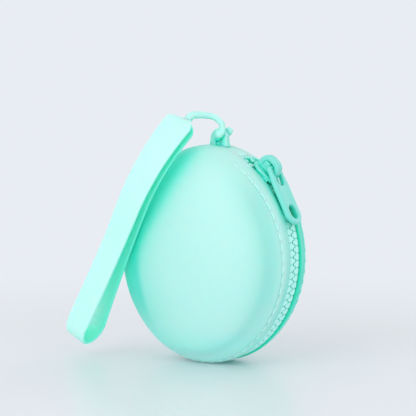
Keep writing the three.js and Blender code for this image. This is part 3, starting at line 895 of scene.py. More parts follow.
bandAxes = np.array(
    Euler((0, 0, turnZ)).to_matrix() @ Euler((0, turnY, 0)).to_matrix() @ Euler((turnX, 0, 0)).to_matrix()
)
bandPlace = np.array([eye["x"] - band["aside"], -band["forward"], eyeHeight + band["above"]])


# Point of the strap: down from its top, out towards the front, and across its width
def strapPoint(down, out, across):
    radius = band["curlLength"] / band["curl"]
    curl = np.maximum(0, band["curl"] - down / radius)
    straight = np.maximum(0, down - band["curlLength"])
    y = radius * (math.cos(band["curl"]) - np.cos(curl)) - out * np.cos(curl)
    z = radius * (np.sin(curl) - math.sin(band["curl"])) - straight + out * np.sin(curl)
    return np.stack(np.broadcast_arrays(across, y, z), axis=-1) @ bandAxes.T + bandPlace


# 1 at the strap's top end and 0 past a length
def nearTop(down, length):
    return max(1 - down / length, 0)


def strapPiece():
    topRound = band["topGap"] / 2
    foldRound = band["foldGap"] / 2
    foldStart = band["length"] - foldRound
    share = (np.arange(band["runs"]) / band["runs"]) ** band["runPower"]
    gap = topRound + (foldRound - topRound) * share ** band["spread"]
    downs = topRound + (foldStart - topRound) * share
    foldTurn = np.linspace(0, math.pi, band["turns"])
    topTurn = np.linspace(0, math.pi, band["topTurns"])[1:-1]
    middle = np.concatenate([
        np.stack([downs, gap], axis=-1),
        np.stack([foldStart + foldRound * np.sin(foldTurn), foldRound * np.cos(foldTurn)], axis=-1),
        np.stack([downs[::-1], -gap[::-1]], axis=-1),
        np.stack([topRound - topRound * np.sin(topTurn), -topRound * np.cos(topTurn)], axis=-1),
    ])
    along = np.roll(middle, -1, axis=0) - np.roll(middle, 1, axis=0)
    along /= np.linalg.norm(along, axis=1)[:, None]
    side = np.stack([along[:, 1], -along[:, 0]], axis=-1)
    rings, loopShade = [], []
    for point, normal in zip(middle, side):
        down = point[0]
        widen = band["topWiden"] * nearTop(down, band["widenFade"])
        left = band["width"] / 2 + widen - endDraw(down, band["corner"])
        left = left - band["foldNarrow"] * smoothStep(down, *band["narrowFrom"])
        right = band["width"] / 2 - endDraw(down, band["rightCorner"])
        section = roundedSection(
            (left + right) / 2, band["thickness"] / 2, band["edgeRound"], band["edgeSteps"]
        )
        flat = point + section[:, 1:] * normal
        across = section[:, 0] + (right - left) / 2
        slant = band["topSlant"] * nearTop(down, band["slantFade"]) * np.clip(-across / left, 0, 1)
        drop = band["topDrop"] * nearTop(down, band["dropFade"])
        rings.append(strapPoint(flat[:, 0] + slant + drop, flat[:, 1], across))
        # Painted shade inside the loop: deeper towards the right edge of the inner face, and all across it
        # down in the fold
        inside = smoothStep(section[:, 1], *band["insideFrom"])
        inFold = smoothStep(down, *band["foldFrom"])
        deepLeft = band["paleLeft"] + (band["foldShade"] - band["paleLeft"]) * inFold
        loopShade.append(inside * np.where(section[:, 0] > 0, band["deepRight"], deepLeft))
    masks = {"loopShade": loopShade + loopShade[:1]}
    return makePiece("strap_loop", *ringSolid(np.array(rings), True), strapSilicone, "round", masks)


strapLoop = strapPiece()
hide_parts("strap_band")
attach(strapLoop, "strap")
print("strap made")

# Link: a turn round the eye's arch, then up and over to the strap's top
link = {
    "diameter": 2.4,
    "hitchAngle": 48 * deg,
    "hitchGap": 0.4,
    "turns": (300, 262, 222, 180, 135, 95, 60),
    "overEye": ((2.7, -2.6, 5.7), (1.9, -3.0, 6.9), (0.1, -4.0, 8.5), (-2.3, -6.2, 9.4)),
    "steps": 12,
    "straight": 2.2,
    "seat": 1.4,
    "flare": 0.45,
    "flareFrom": 0.72,
    "knobDiameter": 3.5,
    "knobLength": 3.9,
    "knobSeat": 2.5,
    "knobEnd": 0.3,
    "knobSteps": (12, 8),
    "waist": 0.12,
    "waistWidth": 0.14,
    "lobe": 0.65,
    "lobeAt": 0.42,
    "lobeWidth": 0.08,
}


def hitchPoint(turn):
    outward = eye["bar"] / 2 + link["hitchGap"] + link["diameter"] / 2
    aside = eye["thickness"] / 2 + link["hitchGap"] + link["diameter"] / 2
    reach = (eye["width"] - eye["bar"]) / 2 + outward * math.cos(turn)
    return np.array([
        eye["x"] + reach * math.cos(link["hitchAngle"]),
        -aside * math.sin(turn),
        eyeHeight + reach * math.sin(link["hitchAngle"]),
    ])


linkKnots = [hitchPoint(turn * deg) for turn in link["turns"]]
linkKnots += [np.array([eye["x"], 0, eyeHeight]) + np.array(place) for place in link["overEye"]]
linkKnots += [strapPoint(-link["straight"], 0, 0), strapPoint(link["seat"], 0, 0)]
linkLine = smoothPath(linkKnots, link["steps"])


# The cord is thicker where it crosses the eye, and broadens a little where it runs into the strap
def linkSection(share):
    flare = link["flare"] * float(smoothStep(share, link["flareFrom"], 1.0))
    lobe = link["lobe"] * float(bump(share, link["lobeAt"], link["lobeWidth"]))
    return roundSection(link["diameter"] / 2 + flare + lobe)


linkRings = tubeRings(linkLine, linkSection)
linkCord = makePiece("strap_link_cord", *ringSolid(linkRings), linkSilicone, "round")
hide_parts("strap_link")
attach(linkCord, "link")


# Knob on the cord's free end: a drawn-up end with a waist
def knobPiece():
    axis = linkLine[0] - linkLine[1]
    axis /= np.linalg.norm(axis)
    start = linkLine[0] - axis * link["knobSeat"]
    steps = endSteps(link["knobLength"], link["knobLength"] * link["knobEnd"], *link["knobSteps"])
    path = start + steps[:, None] * axis

    def section(share):
        at = steps[int(round(share * (len(steps) - 1)))] / link["knobLength"]
        radius = link["knobDiameter"] / 2 * math.sqrt(max(1 - (2 * at - 1) ** 2, 0.0))
        return roundSection(radius * (1 - link["waist"] * bump(at, 0.5, link["waistWidth"])))

    return makePiece("link_knot", *ringSolid(tubeRings(path, section)), linkSilicone, "round")


linkKnot = knobPiece()
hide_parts("link_knob")
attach(linkKnot, "link")
print("link made")


# Rows of pieces along a path, made by Geometry Nodes: one piece every so far, turned with the path
spacingTrim = 0.9999  # keeps the last piece of a row on its path


def rowTree():
    tree = bpy.data.node_groups.new("piecesAlongPath", "GeometryNodeTree")
    inputs = (("Path", "Geometry"), ("Piece", "Object"), ("Spacing", "Float"), ("Finish", "Material"))
    for label, kind in inputs:
        tree.interface.new_socket(label, in_out="INPUT", socket_type="NodeSocket" + kind)
    tree.interface.new_socket("Pieces", in_out="OUTPUT", socket_type="NodeSocketGeometry")
    add, join = tree.nodes.new, tree.links.new
    given = add("NodeGroupInput")
    made = add("NodeGroupOutput")
    toCurve = add("GeometryNodeMeshToCurve")
    resample = add("GeometryNodeResampleCurve")
    resample.mode = "LENGTH"
    source = add("GeometryNodeObjectInfo")
    outward = add("GeometryNodeInputNamedAttribute")
    outward.data_type = "FLOAT_VECTOR"
    outward.inputs["Name"].default_value = "outward"
    tangent = add("GeometryNodeInputTangent")
    axes = add("FunctionNodeAxesToRotation")
    axes.primary_axis = "Z"
    axes.secondary_axis = "X"
    place = add("GeometryNodeInstanceOnPoints")
    realize = add("GeometryNodeRealizeInstances")
    finish = add("GeometryNodeSetMaterial")
    join(given.outputs["Path"], toCurve.inputs["Mesh"])
    join(toCurve.outputs["Curve"], resample.inputs["Curve"])
    join(given.outputs["Spacing"], resample.inputs["Length"])
    join(given.outputs["Piece"], source.inputs["Object"])
    join(outward.outputs["Attribute"], axes.inputs["Primary Axis"])
    join(tangent.outputs["Tangent"], axes.inputs["Secondary Axis"])
    join(resample.outputs["Curve"], place.inputs["Points"])
    join(source.outputs["Geometry"], place.inputs["Instance"])
    join(axes.outputs["Rotation"], place.inputs["Rotation"])
    join(place.outputs["Instances"], realize.inputs["Geometry"])
    join(realize.outputs["Geometry"], finish.inputs["Geometry"])
    join(given.outputs["Finish"], finish.inputs["Material"])
    join(finish.outputs["Geometry"], made.inputs["Pieces"])
    return tree


piecesAlongPath = rowTree()


def rowOfPieces(name, path, angles, piece, count, material, sharp):
    outward = np.stack([np.cos(angles), np.zeros_like(angles), np.sin(angles)], axis=-1)
    spacing = np.linalg.norm(np.diff(path, axis=0), axis=1).sum() / count * spacingTrim
    mesh = bpy.data.meshes.new(name)
    edges = [(i, i + 1) for i in range(len(path) - 1)]
    mesh.from_pydata(toRow(path).tolist(), edges, [])
    attribute = mesh.attributes.new("outward", "FLOAT_VECTOR", "POINT")
    attribute.data.foreach_set("vector", np.asarray(outward, np.float32).ravel())
    row = bpy.data.objects.new(name, mesh)
    bpy.context.scene.collection.objects.link(row)
    modifier = row.modifiers.new("pieces", "NODES")
    modifier.node_group = piecesAlongPath
    values = {"Piece": piece, "Spacing": spacing * mm, "Finish": material}
    for socket in piecesAlongPath.interface.items_tree:
        if socket.in_out == "INPUT" and socket.name in values:
            modifier[socket.identifier] = values[socket.name]
    evaluated = row.evaluated_get(bpy.context.evaluated_depsgraph_get())
    made = bpy.data.meshes.new_from_object(evaluated)
    row.modifiers.remove(modifier)
    made.name = name
    made.shade_smooth()
    made.set_sharp_from_angle(angle=sharpEdge[sharp] * deg)
    row.data = made
    return row


# A small piece in its own frame, in millimetres, kept out of the scene as the source of a row
def sourcePiece(name, points, faces):
    mesh = bpy.data.meshes.new(name)
    mesh.from_pydata((np.asarray(points) * mm).tolist(), [], faces)
    shape = bmesh.new()
    shape.from_mesh(mesh)
    bmesh.ops.recalc_face_normals(shape, faces=shape.faces)
    shape.to_mesh(mesh)
    shape.free()
    return bpy.data.objects.new(name, mesh)


# Stitches: each thread comes up out of one hole, lies along the rim and goes down the next
stitch = {
    "radius": 0.34,
    "lie": -0.1,
    "dip": 0.5,
    "dipPower": 5,
    "shortBy": 1.5,
    "steps": 9,
    "sides": 8,
    "pathSteps": 6,
}


def stitchSource():
    half = (sewnRim["stitchPitch"] - stitch["shortBy"]) / 2
    along = np.linspace(-half, half, stitch["steps"])
    height = stitch["lie"] - stitch["dip"] * np.abs(along / half) ** stitch["dipPower"]
    path = np.stack([along, np.zeros_like(along), height], axis=-1)
    rings = tubeRings(path, lambda share: roundSection(stitch["radius"], stitch["sides"]))
    return sourcePiece("stitch", *ringSolid(rings))


def stitchRow(name, half):
    pitch = sewnRim["stitchPitch"]
    count = int((slitLength - pitch) // pitch)
    lengths = np.linspace(pitch / 2, pitch / 2 + count * pitch, count * stitch["pathSteps"] + 1)
    angles = np.interp(lengths, slitLengths, slitAngles)
    path = domePoint(half, angles, stitchDepth(lengths), sewnRim["lineDepth"], egg["domeDepth"])
    return rowOfPieces(name, path, angles, stitchPiece, count, sewingThread, "round")


stitchPiece = stitchSource()
frontStitches = stitchRow("front_stitches", -1)
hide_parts("front_stitch_thread")
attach(frontStitches, "front_half")
rearStitches = stitchRow("rear_stitches", 1)
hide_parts("rear_stitch_thread")
onRear(rearStitches)


# End stitches across the wall, past each end of the slit: a bar of thread sewn to and fro
tack = {
    "offset": 2.4,
    "strands": 3,
    "pitch": 0.55,
    "radius": 0.3,
    "reach": 3.1,
    "lie": 0.14,
    "dip": 0.7,
    "dipPower": 6,
    "steps": 15,
    "sides": 8,
    "up": (1, 0, 0.3),
}


def tackPiece(name, middle, radius):
    solids = []
    section = roundSection(tack["radius"], tack["sides"])
    for strand in range(tack["strands"]):
        angle = middle + (strand - (tack["strands"] - 1) / 2) * tack["pitch"] / radius
        ys = np.linspace(-tack["reach"], tack["reach"], tack["steps"])
        out = tack["lie"] - tack["dip"] * np.abs(ys / tack["reach"]) ** tack["dipPower"]
        path = onRim(np.full_like(ys, angle), out, ys)
        solids.append(ringSolid(tubeRings(path, lambda share: section, tack["up"])))
    return makePiece(name, *joinSolids(solids), sewingThread, "round")


topTack = tackPiece("top_tack", egg["slitTop"] + tack["offset"] / sideRadius, sideRadius)
bottomTack = tackPiece("bottom_tack", egg["slitBottom"] - tack["offset"] / bottomRadius, bottomRadius)
for piece, node in ((topTack, "top_end_tack"), (bottomTack, "bottom_end_tack")):
    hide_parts(node)
    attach(piece, "front_half")
print("stitches made")

# Zip: tape, corded edge, teeth and stops
zipChain = {
    "depth": 1.35,
    "pitch": 2.9,
    "webMiddle": 2.0,
    "webHalf": 1.3,
    "webDepth": 1.35,
    "webThickness": 1.0,
    "webCorner": 0.2,
    "webCornerSteps": 3,
    "webSteps": 260,
    "tapeEdge": 0.2,
    "tapeThickness": 0.5,
    "tapeReach": 7.5,
    "tapeOverrun": 2.5,
    "tapeSteps": 220,
    "tapeRows": 14,
    "slack": 0.3,
    "stopLength": 2.0,
    "stopHeight": 2.3,
    "stopHalf": 0.65,
    "stopAcross": 2.05,
    "bottomStopHalf": 2.7,
    "stopCorner": 0.4,
    "endGap": 0.6,
    "endMargin": 1.1,
    "steps": 3000,
    "toothSteps": 12,
}
sliderPlaceAngle = 48.3 * deg
sliderLength = 13.2
sliderNoseCut = 1.4
wedgeLength = 2.2
pastStop = zipChain["endGap"] + zipChain["stopLength"] + zipChain["slack"]
chainTop = egg["slitTop"] - pastStop / sideRadius
chainBottom = egg["slitBottom"] + pastStop / bottomRadius
rearChainTop = sliderPlaceAngle + (sliderLength / 2 - 2 * zipChain["slack"] - wedgeLength) / sideRadius


def tapePiece(name, half, top):
    low = egg["slitBottom"] - zipChain["tapeOverrun"] / bottomRadius
    high = egg["slitTop"] + zipChain["tapeOverrun"] / sideRadius
    angles = np.linspace(low, high, zipChain["tapeSteps"])
    depths = np.linspace(zipChain["tapeEdge"] - egg["slitHalf"], zipChain["tapeReach"], zipChain["tapeRows"])
    under = egg["wall"] + zipChain["slack"]
    grids = []
    for inset in (under, under + zipChain["tapeThickness"]):
        reach = egg["domeDepth"] - inset
        rows = [domePoint(half, angles, np.full_like(angles, depth), inset, reach) for depth in depths]
        grids.append(np.array(rows))
    webAngles = np.linspace(chainBottom, top, zipChain["webSteps"])
    webPath = onRim(webAngles, -zipChain["webDepth"], half * zipChain["webMiddle"])
    section = roundedSection(
        zipChain["webThickness"] / 2, zipChain["webHalf"], zipChain["webCorner"], zipChain["webCornerSteps"]
    )
    web = ringSolid(tubeRings(webPath, lambda share: section))
    return makePiece(name, *joinSolids([slabSolid(*grids), web]), tapeYarn, "skin")


frontTape = tapePiece("front_tape", -1, chainTop)
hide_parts("front_zip_tape")
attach(frontTape, "front_half")
rearTape = tapePiece("rear_tape", 1, rearChainTop)
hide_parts("rear_zip_tape")
onRear(rearTape)

# Tooth in its own frame: x along the zip, y towards the other side, z out of the pouch
tooth = {
    "rootHalf": 1.38,
    "headHalf": 0.69,
    "height": 1.5,
    "rootY": -3.2,
    "rootRound": 0.6,
    "rootEase": 0.3,
    "shoulderY": -0.85,
    "shoulderRound": 0.42,
    "shoulderRise": 0.1,
    "tipY": 0.42,
    "corner": 0.25,
    "edge": 0.12,
}


# Outline drawn in by the same amount all round, anticlockwise, with a limit on how far a tight corner moves
tightCorner = 0.4


def drawnIn(outline, amount):
    before = outline - np.roll(outline, 1, axis=0)
    after = np.roll(outline, -1, axis=0) - outline
    normals = []
    for edge in (before, after):
        length = np.linalg.norm(edge, axis=1)[:, None]
        normals.append(np.stack([-edge[:, 1], edge[:, 0]], axis=-1) / length)
    away = normals[0] + normals[1]
    away /= np.maximum((away * normals[0]).sum(axis=1), tightCorner)[:, None]
    return outline + away * amount


def toothSource():
    ease = tooth["rootRound"] * tooth["rootEase"]
    side = [
        (tooth["rootHalf"] - tooth["rootRound"], tooth["rootY"]),
        (tooth["rootHalf"] - ease, tooth["rootY"] + ease),
        (tooth["rootHalf"], tooth["rootY"] + tooth["rootRound"]),
        (tooth["rootHalf"], tooth["shoulderY"] - tooth["shoulderRound"]),
        (tooth["rootHalf"] - tooth["shoulderRound"], tooth["shoulderY"]),
        (tooth["headHalf"], tooth["shoulderY"] + tooth["shoulderRise"]),
        (tooth["headHalf"], tooth["tipY"] - tooth["corner"]),
        (tooth["headHalf"] - tooth["corner"], tooth["tipY"]),
    ]
    outline = np.array(side + [(-x, y) for x, y in side[::-1]])
    half = tooth["height"] / 2
    rings = []
    for z, amount in ((-half, 0), (half - tooth["edge"], 0), (half, tooth["edge"])):
        flat = drawnIn(outline, amount)
        rings.append(np.column_stack([flat, np.full(len(flat), z)]))
    return sourcePiece("tooth", *ringSolid(np.array(rings)))


toothPiece = toothSource()
chainAngles = np.linspace(chainTop, chainBottom, zipChain["steps"])
chainRows = onRim(chainAngles, -zipChain["depth"], 0.0)
chainLengths = np.concatenate([[0], np.cumsum(np.linalg.norm(np.diff(chainRows, axis=0), axis=1))])


def teethRow(name, first, last, reverse):
    count = int((last - first) // zipChain["pitch"])
    lengths = np.linspace(first, first + count * zipChain["pitch"], count * zipChain["toothSteps"] + 1)
    if reverse:
        lengths = lengths[::-1]
    angles = np.interp(lengths, chainLengths, chainAngles)
    path = onRim(angles, -zipChain["depth"], 0.0)
    return rowOfPieces(name, path, angles, toothPiece, count, zipPlastic, "tooth")


chainEnd = chainLengths[-1] - zipChain["endMargin"]
rearStart = float(np.interp(-rearChainTop, -chainAngles, chainLengths)) + zipChain["endMargin"]
rearFirst = math.ceil(rearStart / zipChain["pitch"]) * zipChain["pitch"]
frontTeeth = teethRow("front_teeth", zipChain["pitch"] / 2, chainEnd, False)
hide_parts("front_zip_teeth")
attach(frontTeeth, "front_half")
rearTeeth = teethRow("rear_teeth", rearFirst, chainEnd, True)
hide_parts("rear_zip_teeth")
onRear(rearTeeth)


# Bar that follows the outline, with rounded edges and ends
rimBarSteps = 28
leastCorner = 0.02


def rimBar(start, end, radius, half, low, high, across, corner):
    length = (end - start) * radius
    rings = []
    for step in endSteps(length, corner, rimBarSteps):
        draw = endDraw(min(step, length - step), corner)
        halfUp = (high - low) / 2 - draw
        section = roundedSection(half(step / length) - draw, halfUp, max(corner - draw, leastCorner))
        rings.append(onRim(start + step / radius, (high + low) / 2 + section[:, 1], across + section[:, 0]))
    return ringSolid(np.array(rings))


def stopPiece(name, start, end, radius, half, across):
    low = -zipChain["depth"] - zipChain["stopHeight"] / 2
    high = low + zipChain["stopHeight"]
    solid = rimBar(start, end, radius, lambda share: half, low, high, across, zipChain["stopCorner"])
    return makePiece(name, *solid, zipPlastic, "skin")


stopTop = egg["slitTop"] - zipChain["endGap"] / sideRadius
stopLow = stopTop - zipChain["stopLength"] / sideRadius
bottomStopLow = egg["slitBottom"] + zipChain["endGap"] / bottomRadius
bottomStopHigh = bottomStopLow + zipChain["stopLength"] / bottomRadius
stopHalf, stopAcross = zipChain["stopHalf"], zipChain["stopAcross"]
bottomStopHalf = zipChain["bottomStopHalf"]
frontStop = stopPiece("front_stop", stopLow, stopTop, sideRadius, stopHalf, -stopAcross)
rearStop = stopPiece("rear_stop", stopLow, stopTop, sideRadius, stopHalf, stopAcross)
bottomStop = stopPiece("bottom_stop_block", bottomStopLow, bottomStopHigh, bottomRadius, bottomStopHalf, 0.0)
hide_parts("front_top_stop")
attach(frontStop, "front_half")
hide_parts("rear_top_stop")
onRear(rearStop)
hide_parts("bottom_stop")
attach(bottomStop, "front_half")
print("zip made")

# Bridge: the arch on the slider that holds the pull tab
bridge = {
    "span": 10.2,
    "offset": 0.9,
    "clear": 3.6,
    "thickness": 2.3,
    "width": 3.7,
    "power": 3,
    "corner": 0.7,
    "sink": 1.1,
    "steps": 56,
}

# Slider: outer plate, inner plate, side lips, the wedge between them, and a ridge and a lock housing on top
slider = {
    "tailHalf": 2.9,
    "shoulder": 1.5,
    "shoulderAt": 0.58,
    "shoulderWidth": 0.34,
    "noseFrom": 0.58,
    "noseLength": 0.47,
    "nosePower": 2.4,
    "plate": 1.6,
    "lift": 0.2,
    "corner": 0.75,
    "root": 0.6,
    "innerTop": -3.85,
    "innerCorner": 0.5,
    "lipInner": 3.05,
    "lipThickness": 0.5,
    "lipFromTail": 1.3,
    "lipFromNose": 3.2,
    "lipEdge": -2.0,
    "innerLipEdge": -3.1,
    "lipCorner": 0.2,
    "ridge": 1.0,
    "ridgeHalf": 1.6,
    "ridgeLength": 7.0,
    "ridgeCorner": 0.45,
    "lockFrom": -2.2,
    "lockTo": 1.0,
    "lockHalf": 1.35,
    "lockTop": 5.3,
    "wedgeCorner": 0.3,
}


# Half width of the plates, from the tail to the rounded nose at the top end
def sliderHalf(share):
    broad = slider["tailHalf"]
    broad += slider["shoulder"] * float(bump(share, slider["shoulderAt"], slider["shoulderWidth"]))
    over = max(share - slider["noseFrom"], 0) / slider["noseLength"]
    return broad * (1 - over ** slider["nosePower"]) ** (1 / slider["nosePower"])


def sliderPiece():
    start = sliderPlaceAngle - sliderLength / 2 / sideRadius
    end = sliderPlaceAngle + (sliderLength / 2 - sliderNoseCut) / sideRadius
    top = slider["lift"] + slider["plate"]
    rootTop = slider["lift"] + slider["root"]
    rootLow = slider["innerTop"] - slider["root"]
    innerLow = slider["innerTop"] - slider["plate"]

    # Bar on the slider: ends as angles, half width, heights, place across the zip and corner
    def bar(first, last, half, low, high, across, corner):
        return rimBar(first, last, sideRadius, lambda share: half, low, high, across, corner)

    solids = [
        rimBar(start, end, sideRadius, sliderHalf, slider["lift"], top, 0, slider["corner"]),
        rimBar(start, end, sideRadius, sliderHalf, innerLow, slider["innerTop"], 0, slider["innerCorner"]),
    ]
    lipStart = start + slider["lipFromTail"] / sideRadius
    lipEnd = end - slider["lipFromNose"] / sideRadius
    lipHalf = slider["lipThickness"] / 2
    for side in (-1, 1):
        across = side * (slider["lipInner"] + lipHalf)
        for low, high in ((slider["lipEdge"], rootTop), (rootLow, slider["innerLipEdge"])):
            solids.append(bar(lipStart, lipEnd, lipHalf, low, high, across, slider["lipCorner"]))
    ridgeMiddle = sliderPlaceAngle - bridge["offset"] / sideRadius
    ridgeReach = slider["ridgeLength"] / 2 / sideRadius
    ridgeStart, ridgeEnd = ridgeMiddle - ridgeReach, ridgeMiddle + ridgeReach
    ridgeTop = top + slider["ridge"]
    solids.append(bar(ridgeStart, ridgeEnd, slider["ridgeHalf"], rootTop, ridgeTop, 0, slider["ridgeCorner"]))
    lockStart = sliderPlaceAngle - slider["lockTo"] / sideRadius
    lockEnd = sliderPlaceAngle - slider["lockFrom"] / sideRadius
    solids.append(bar(
        lockStart, lockEnd, slider["lockHalf"], rootTop, slider["lockTop"], 0, slider["ridgeCorner"]
    ))
    wedgeEnd = end - zipChain["slack"] / sideRadius
    wedgeStart = wedgeEnd - wedgeLength / sideRadius
    solids.append(bar(wedgeStart, wedgeEnd, stopHalf, rootLow, rootTop, stopAcross, slider["wedgeCorner"]))
    return makePiece("slider_plates", *joinSolids(solids), sliderPaint, "skin")


sliderPlates = sliderPiece()
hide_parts("slider_body")
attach(sliderPlates, "slider")

# Places on the slider: x down the zip, y across it, z out of the pouch
sliderOrigin = onRim(sliderPlaceAngle, 0.0, 0.0)
sliderDown = np.array([math.sin(sliderPlaceAngle), 0, -math.cos(sliderPlaceAngle)])
sliderOut = np.array([math.cos(sliderPlaceAngle), 0, math.sin(sliderPlaceAngle)])
acrossZip = np.array([0, 1.0, 0])


def bridgePiece():
    plateTop = slider["lift"] + slider["plate"]
    base = plateTop + zipChain["slack"]
    halfSpan = bridge["span"] / 2 - bridge["thickness"] / 2
    rise = bridge["clear"] + bridge["thickness"] / 2
    turn = np.linspace(0, math.pi, bridge["steps"])
    squareness = 2 / bridge["power"]
    along = bridge["offset"] + halfSpan * np.sign(np.cos(turn)) * np.abs(np.cos(turn)) ** squareness
    height = base + rise * np.sin(turn).clip(0) ** squareness
    along = np.concatenate([along[:1], along, along[-1:]])
    height = np.concatenate([[plateTop - bridge["sink"]], height, [plateTop - bridge["sink"]]])
    path = sliderOrigin + along[:, None] * sliderDown + height[:, None] * sliderOut
    section = roundedSection(bridge["thickness"] / 2, bridge["width"] / 2, bridge["corner"])
    rings = tubeRings(path, lambda share: section)
    return makePiece("slider_arch", *ringSolid(rings), sliderPaint, "round")


sliderArch = bridgePiece()
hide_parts("slider_bridge")
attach(sliderArch, "slider")

# Pull tab: cut from an outline with a window for the bridge and an oblong hole, with rounded edges
tab = {
    "length": 24.8,
    "width": 9.6,
    "thickness": 2.0,
    "neck": 7.8,
    "neckRound": 1.1,
    "bar": 1.6,
    "barPlace": 2.3,
    "barHeight": 4.41,
    "windowLength": 7.2,
    "windowClear": 0.45,
    "windowRound": 0.6,
    "holeLength": 6.0,
    "holeWidth": 4.5,
    "holeEdge": 2.2,
    "rest": 0.8,
    "edge": 0.6,
    "edgeSteps": 3,
    "neckSteps": 6,
    "endSteps": 28,
    "windowSteps": 5,
    "windowEndSteps": 18,
    "holeSteps": 16,
}


# Arc about a place on the tab, its ends given in quarter turns
def tabArc(x, y, radius, start, end, steps):
    turn = np.linspace(start * math.pi / 2, end * math.pi / 2, steps)
    return [(x + radius * math.cos(a), y + radius * math.sin(a)) for a in turn]


def tabOutlines():
    half = tab["width"] / 2
    neck = tab["neck"] / 2
    turnIn = tab["neckRound"]
    barHalf = tab["bar"] / 2
    outer = tabArc(turnIn - barHalf, turnIn - neck, turnIn, 2, 3, tab["neckSteps"])
    outer += [(tab["windowLength"], -half)]
    outer += tabArc(tab["length"] - half, 0, half, -1, 1, tab["endSteps"])
    outer += [(tab["windowLength"], half)]
    outer += tabArc(turnIn - barHalf, neck - turnIn, turnIn, 1, 2, tab["neckSteps"])
    clear = bridge["width"] / 2 + tab["windowClear"]
    windowEnd = barHalf + tab["windowLength"] - clear
    small = tab["windowRound"]
    window = tabArc(barHalf + small, small - clear, small, 2, 3, tab["windowSteps"])
    window += tabArc(windowEnd, 0, clear, -1, 1, tab["windowEndSteps"])
    window += tabArc(barHalf + small, clear - small, small, 1, 2, tab["windowSteps"])
    holeRadius = tab["holeWidth"] / 2
    holeFar = tab["length"] - tab["holeEdge"] - holeRadius
    holeNear = holeFar - (tab["holeLength"] - tab["holeWidth"])
    hole = tabArc(holeFar, 0, holeRadius, -1, 1, tab["holeSteps"])
    hole += tabArc(holeNear, 0, holeRadius, 1, 3, tab["holeSteps"])
    return [outer, window, hole]


def tabPiece():
    curve = bpy.data.curves.new("tabOutline", "CURVE")
    curve.dimensions = "2D"
    curve.fill_mode = "BOTH"
    curve.extrude = tab["thickness"] / 2 - tab["edge"]
    curve.bevel_depth = tab["edge"]
    curve.bevel_resolution = tab["edgeSteps"]
    curve.offset = -tab["edge"]
    for outline in tabOutlines():
        spline = curve.splines.new("POLY")
        spline.points.add(len(outline) - 1)
        for point, (x, y) in zip(spline.points, outline):
            point.co = (x, y, 0, 1)
        spline.use_cyclic_u = True
    flat = bpy.data.objects.new("tabOutline", curve)
    bpy.context.scene.collection.objects.link(flat)
    bpy.context.view_layer.update()
    mesh = bpy.data.meshes.new_from_object(flat.evaluated_get(bpy.context.evaluated_depsgraph_get()))
    bpy.data.objects.remove(flat)
    points = np.array([v.co for v in mesh.vertices])
    faces = [list(p.vertices) for p in mesh.polygons]
    barHeight = tab["barHeight"]
    barRadius = math.hypot(tab["barPlace"], sideRadius + barHeight)
    lean = math.acos((sideRadius + tab["rest"] + tab["thickness"] / 2) / barRadius)
    lean += math.atan2(tab["barPlace"], sideRadius + barHeight)
    along = sliderDown * math.cos(lean) - sliderOut * math.sin(lean)
    out = sliderOut * math.cos(lean) + sliderDown * math.sin(lean)
    origin = sliderOrigin + sliderOut * barHeight + sliderDown * tab["barPlace"]
    placed = origin + points[:, :1] * along + points[:, 1:2] * acrossZip + points[:, 2:] * out
    return makePiece("pull_tab_plate", placed, faces, sliderPaint, "plate")


pullTab = tabPiece()
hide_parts("pull_tab")
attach(pullTab, "pull")
print("slider and pull tab made")

# Stage: pale floor that fades into the background, soft light from the front, the right and behind
stage = {
    "floorColour": "dadee3",
    "backColour": "e9edf3",
    "fadeStart": 0.10,
    "fadeEnd": 0.34,
    "floorHalf": 6.0,
    "floorGloss": 0.3,
    "floorRoughness": 0.35,
    "floorGlowLight": 0.22,
    "worldStrength": 0.88,
    "aimHeight": 45.0,
}
softboxes = {
    "keyBox": {"power": 4.8, "size": 0.9, "place": (-0.05, -1.1, 0.55)},
    "fillBox": {"power": 1.8, "size": 0.9, "place": (1.0, -0.55, 0.25)},
    "backBox": {"power": 1.9, "size": 0.9, "place": (0.3, 1.1, 0.6)},
}


def cameraSeen(tree):
    path = tree.nodes.new("ShaderNodeLightPath")
    seen = mathNode(tree, "MAXIMUM", path.outputs["Is Camera Ray"], path.outputs["Is Glossy Ray"])
    return mathNode(tree, "MAXIMUM", seen, path.outputs["Is Transmission Ray"])


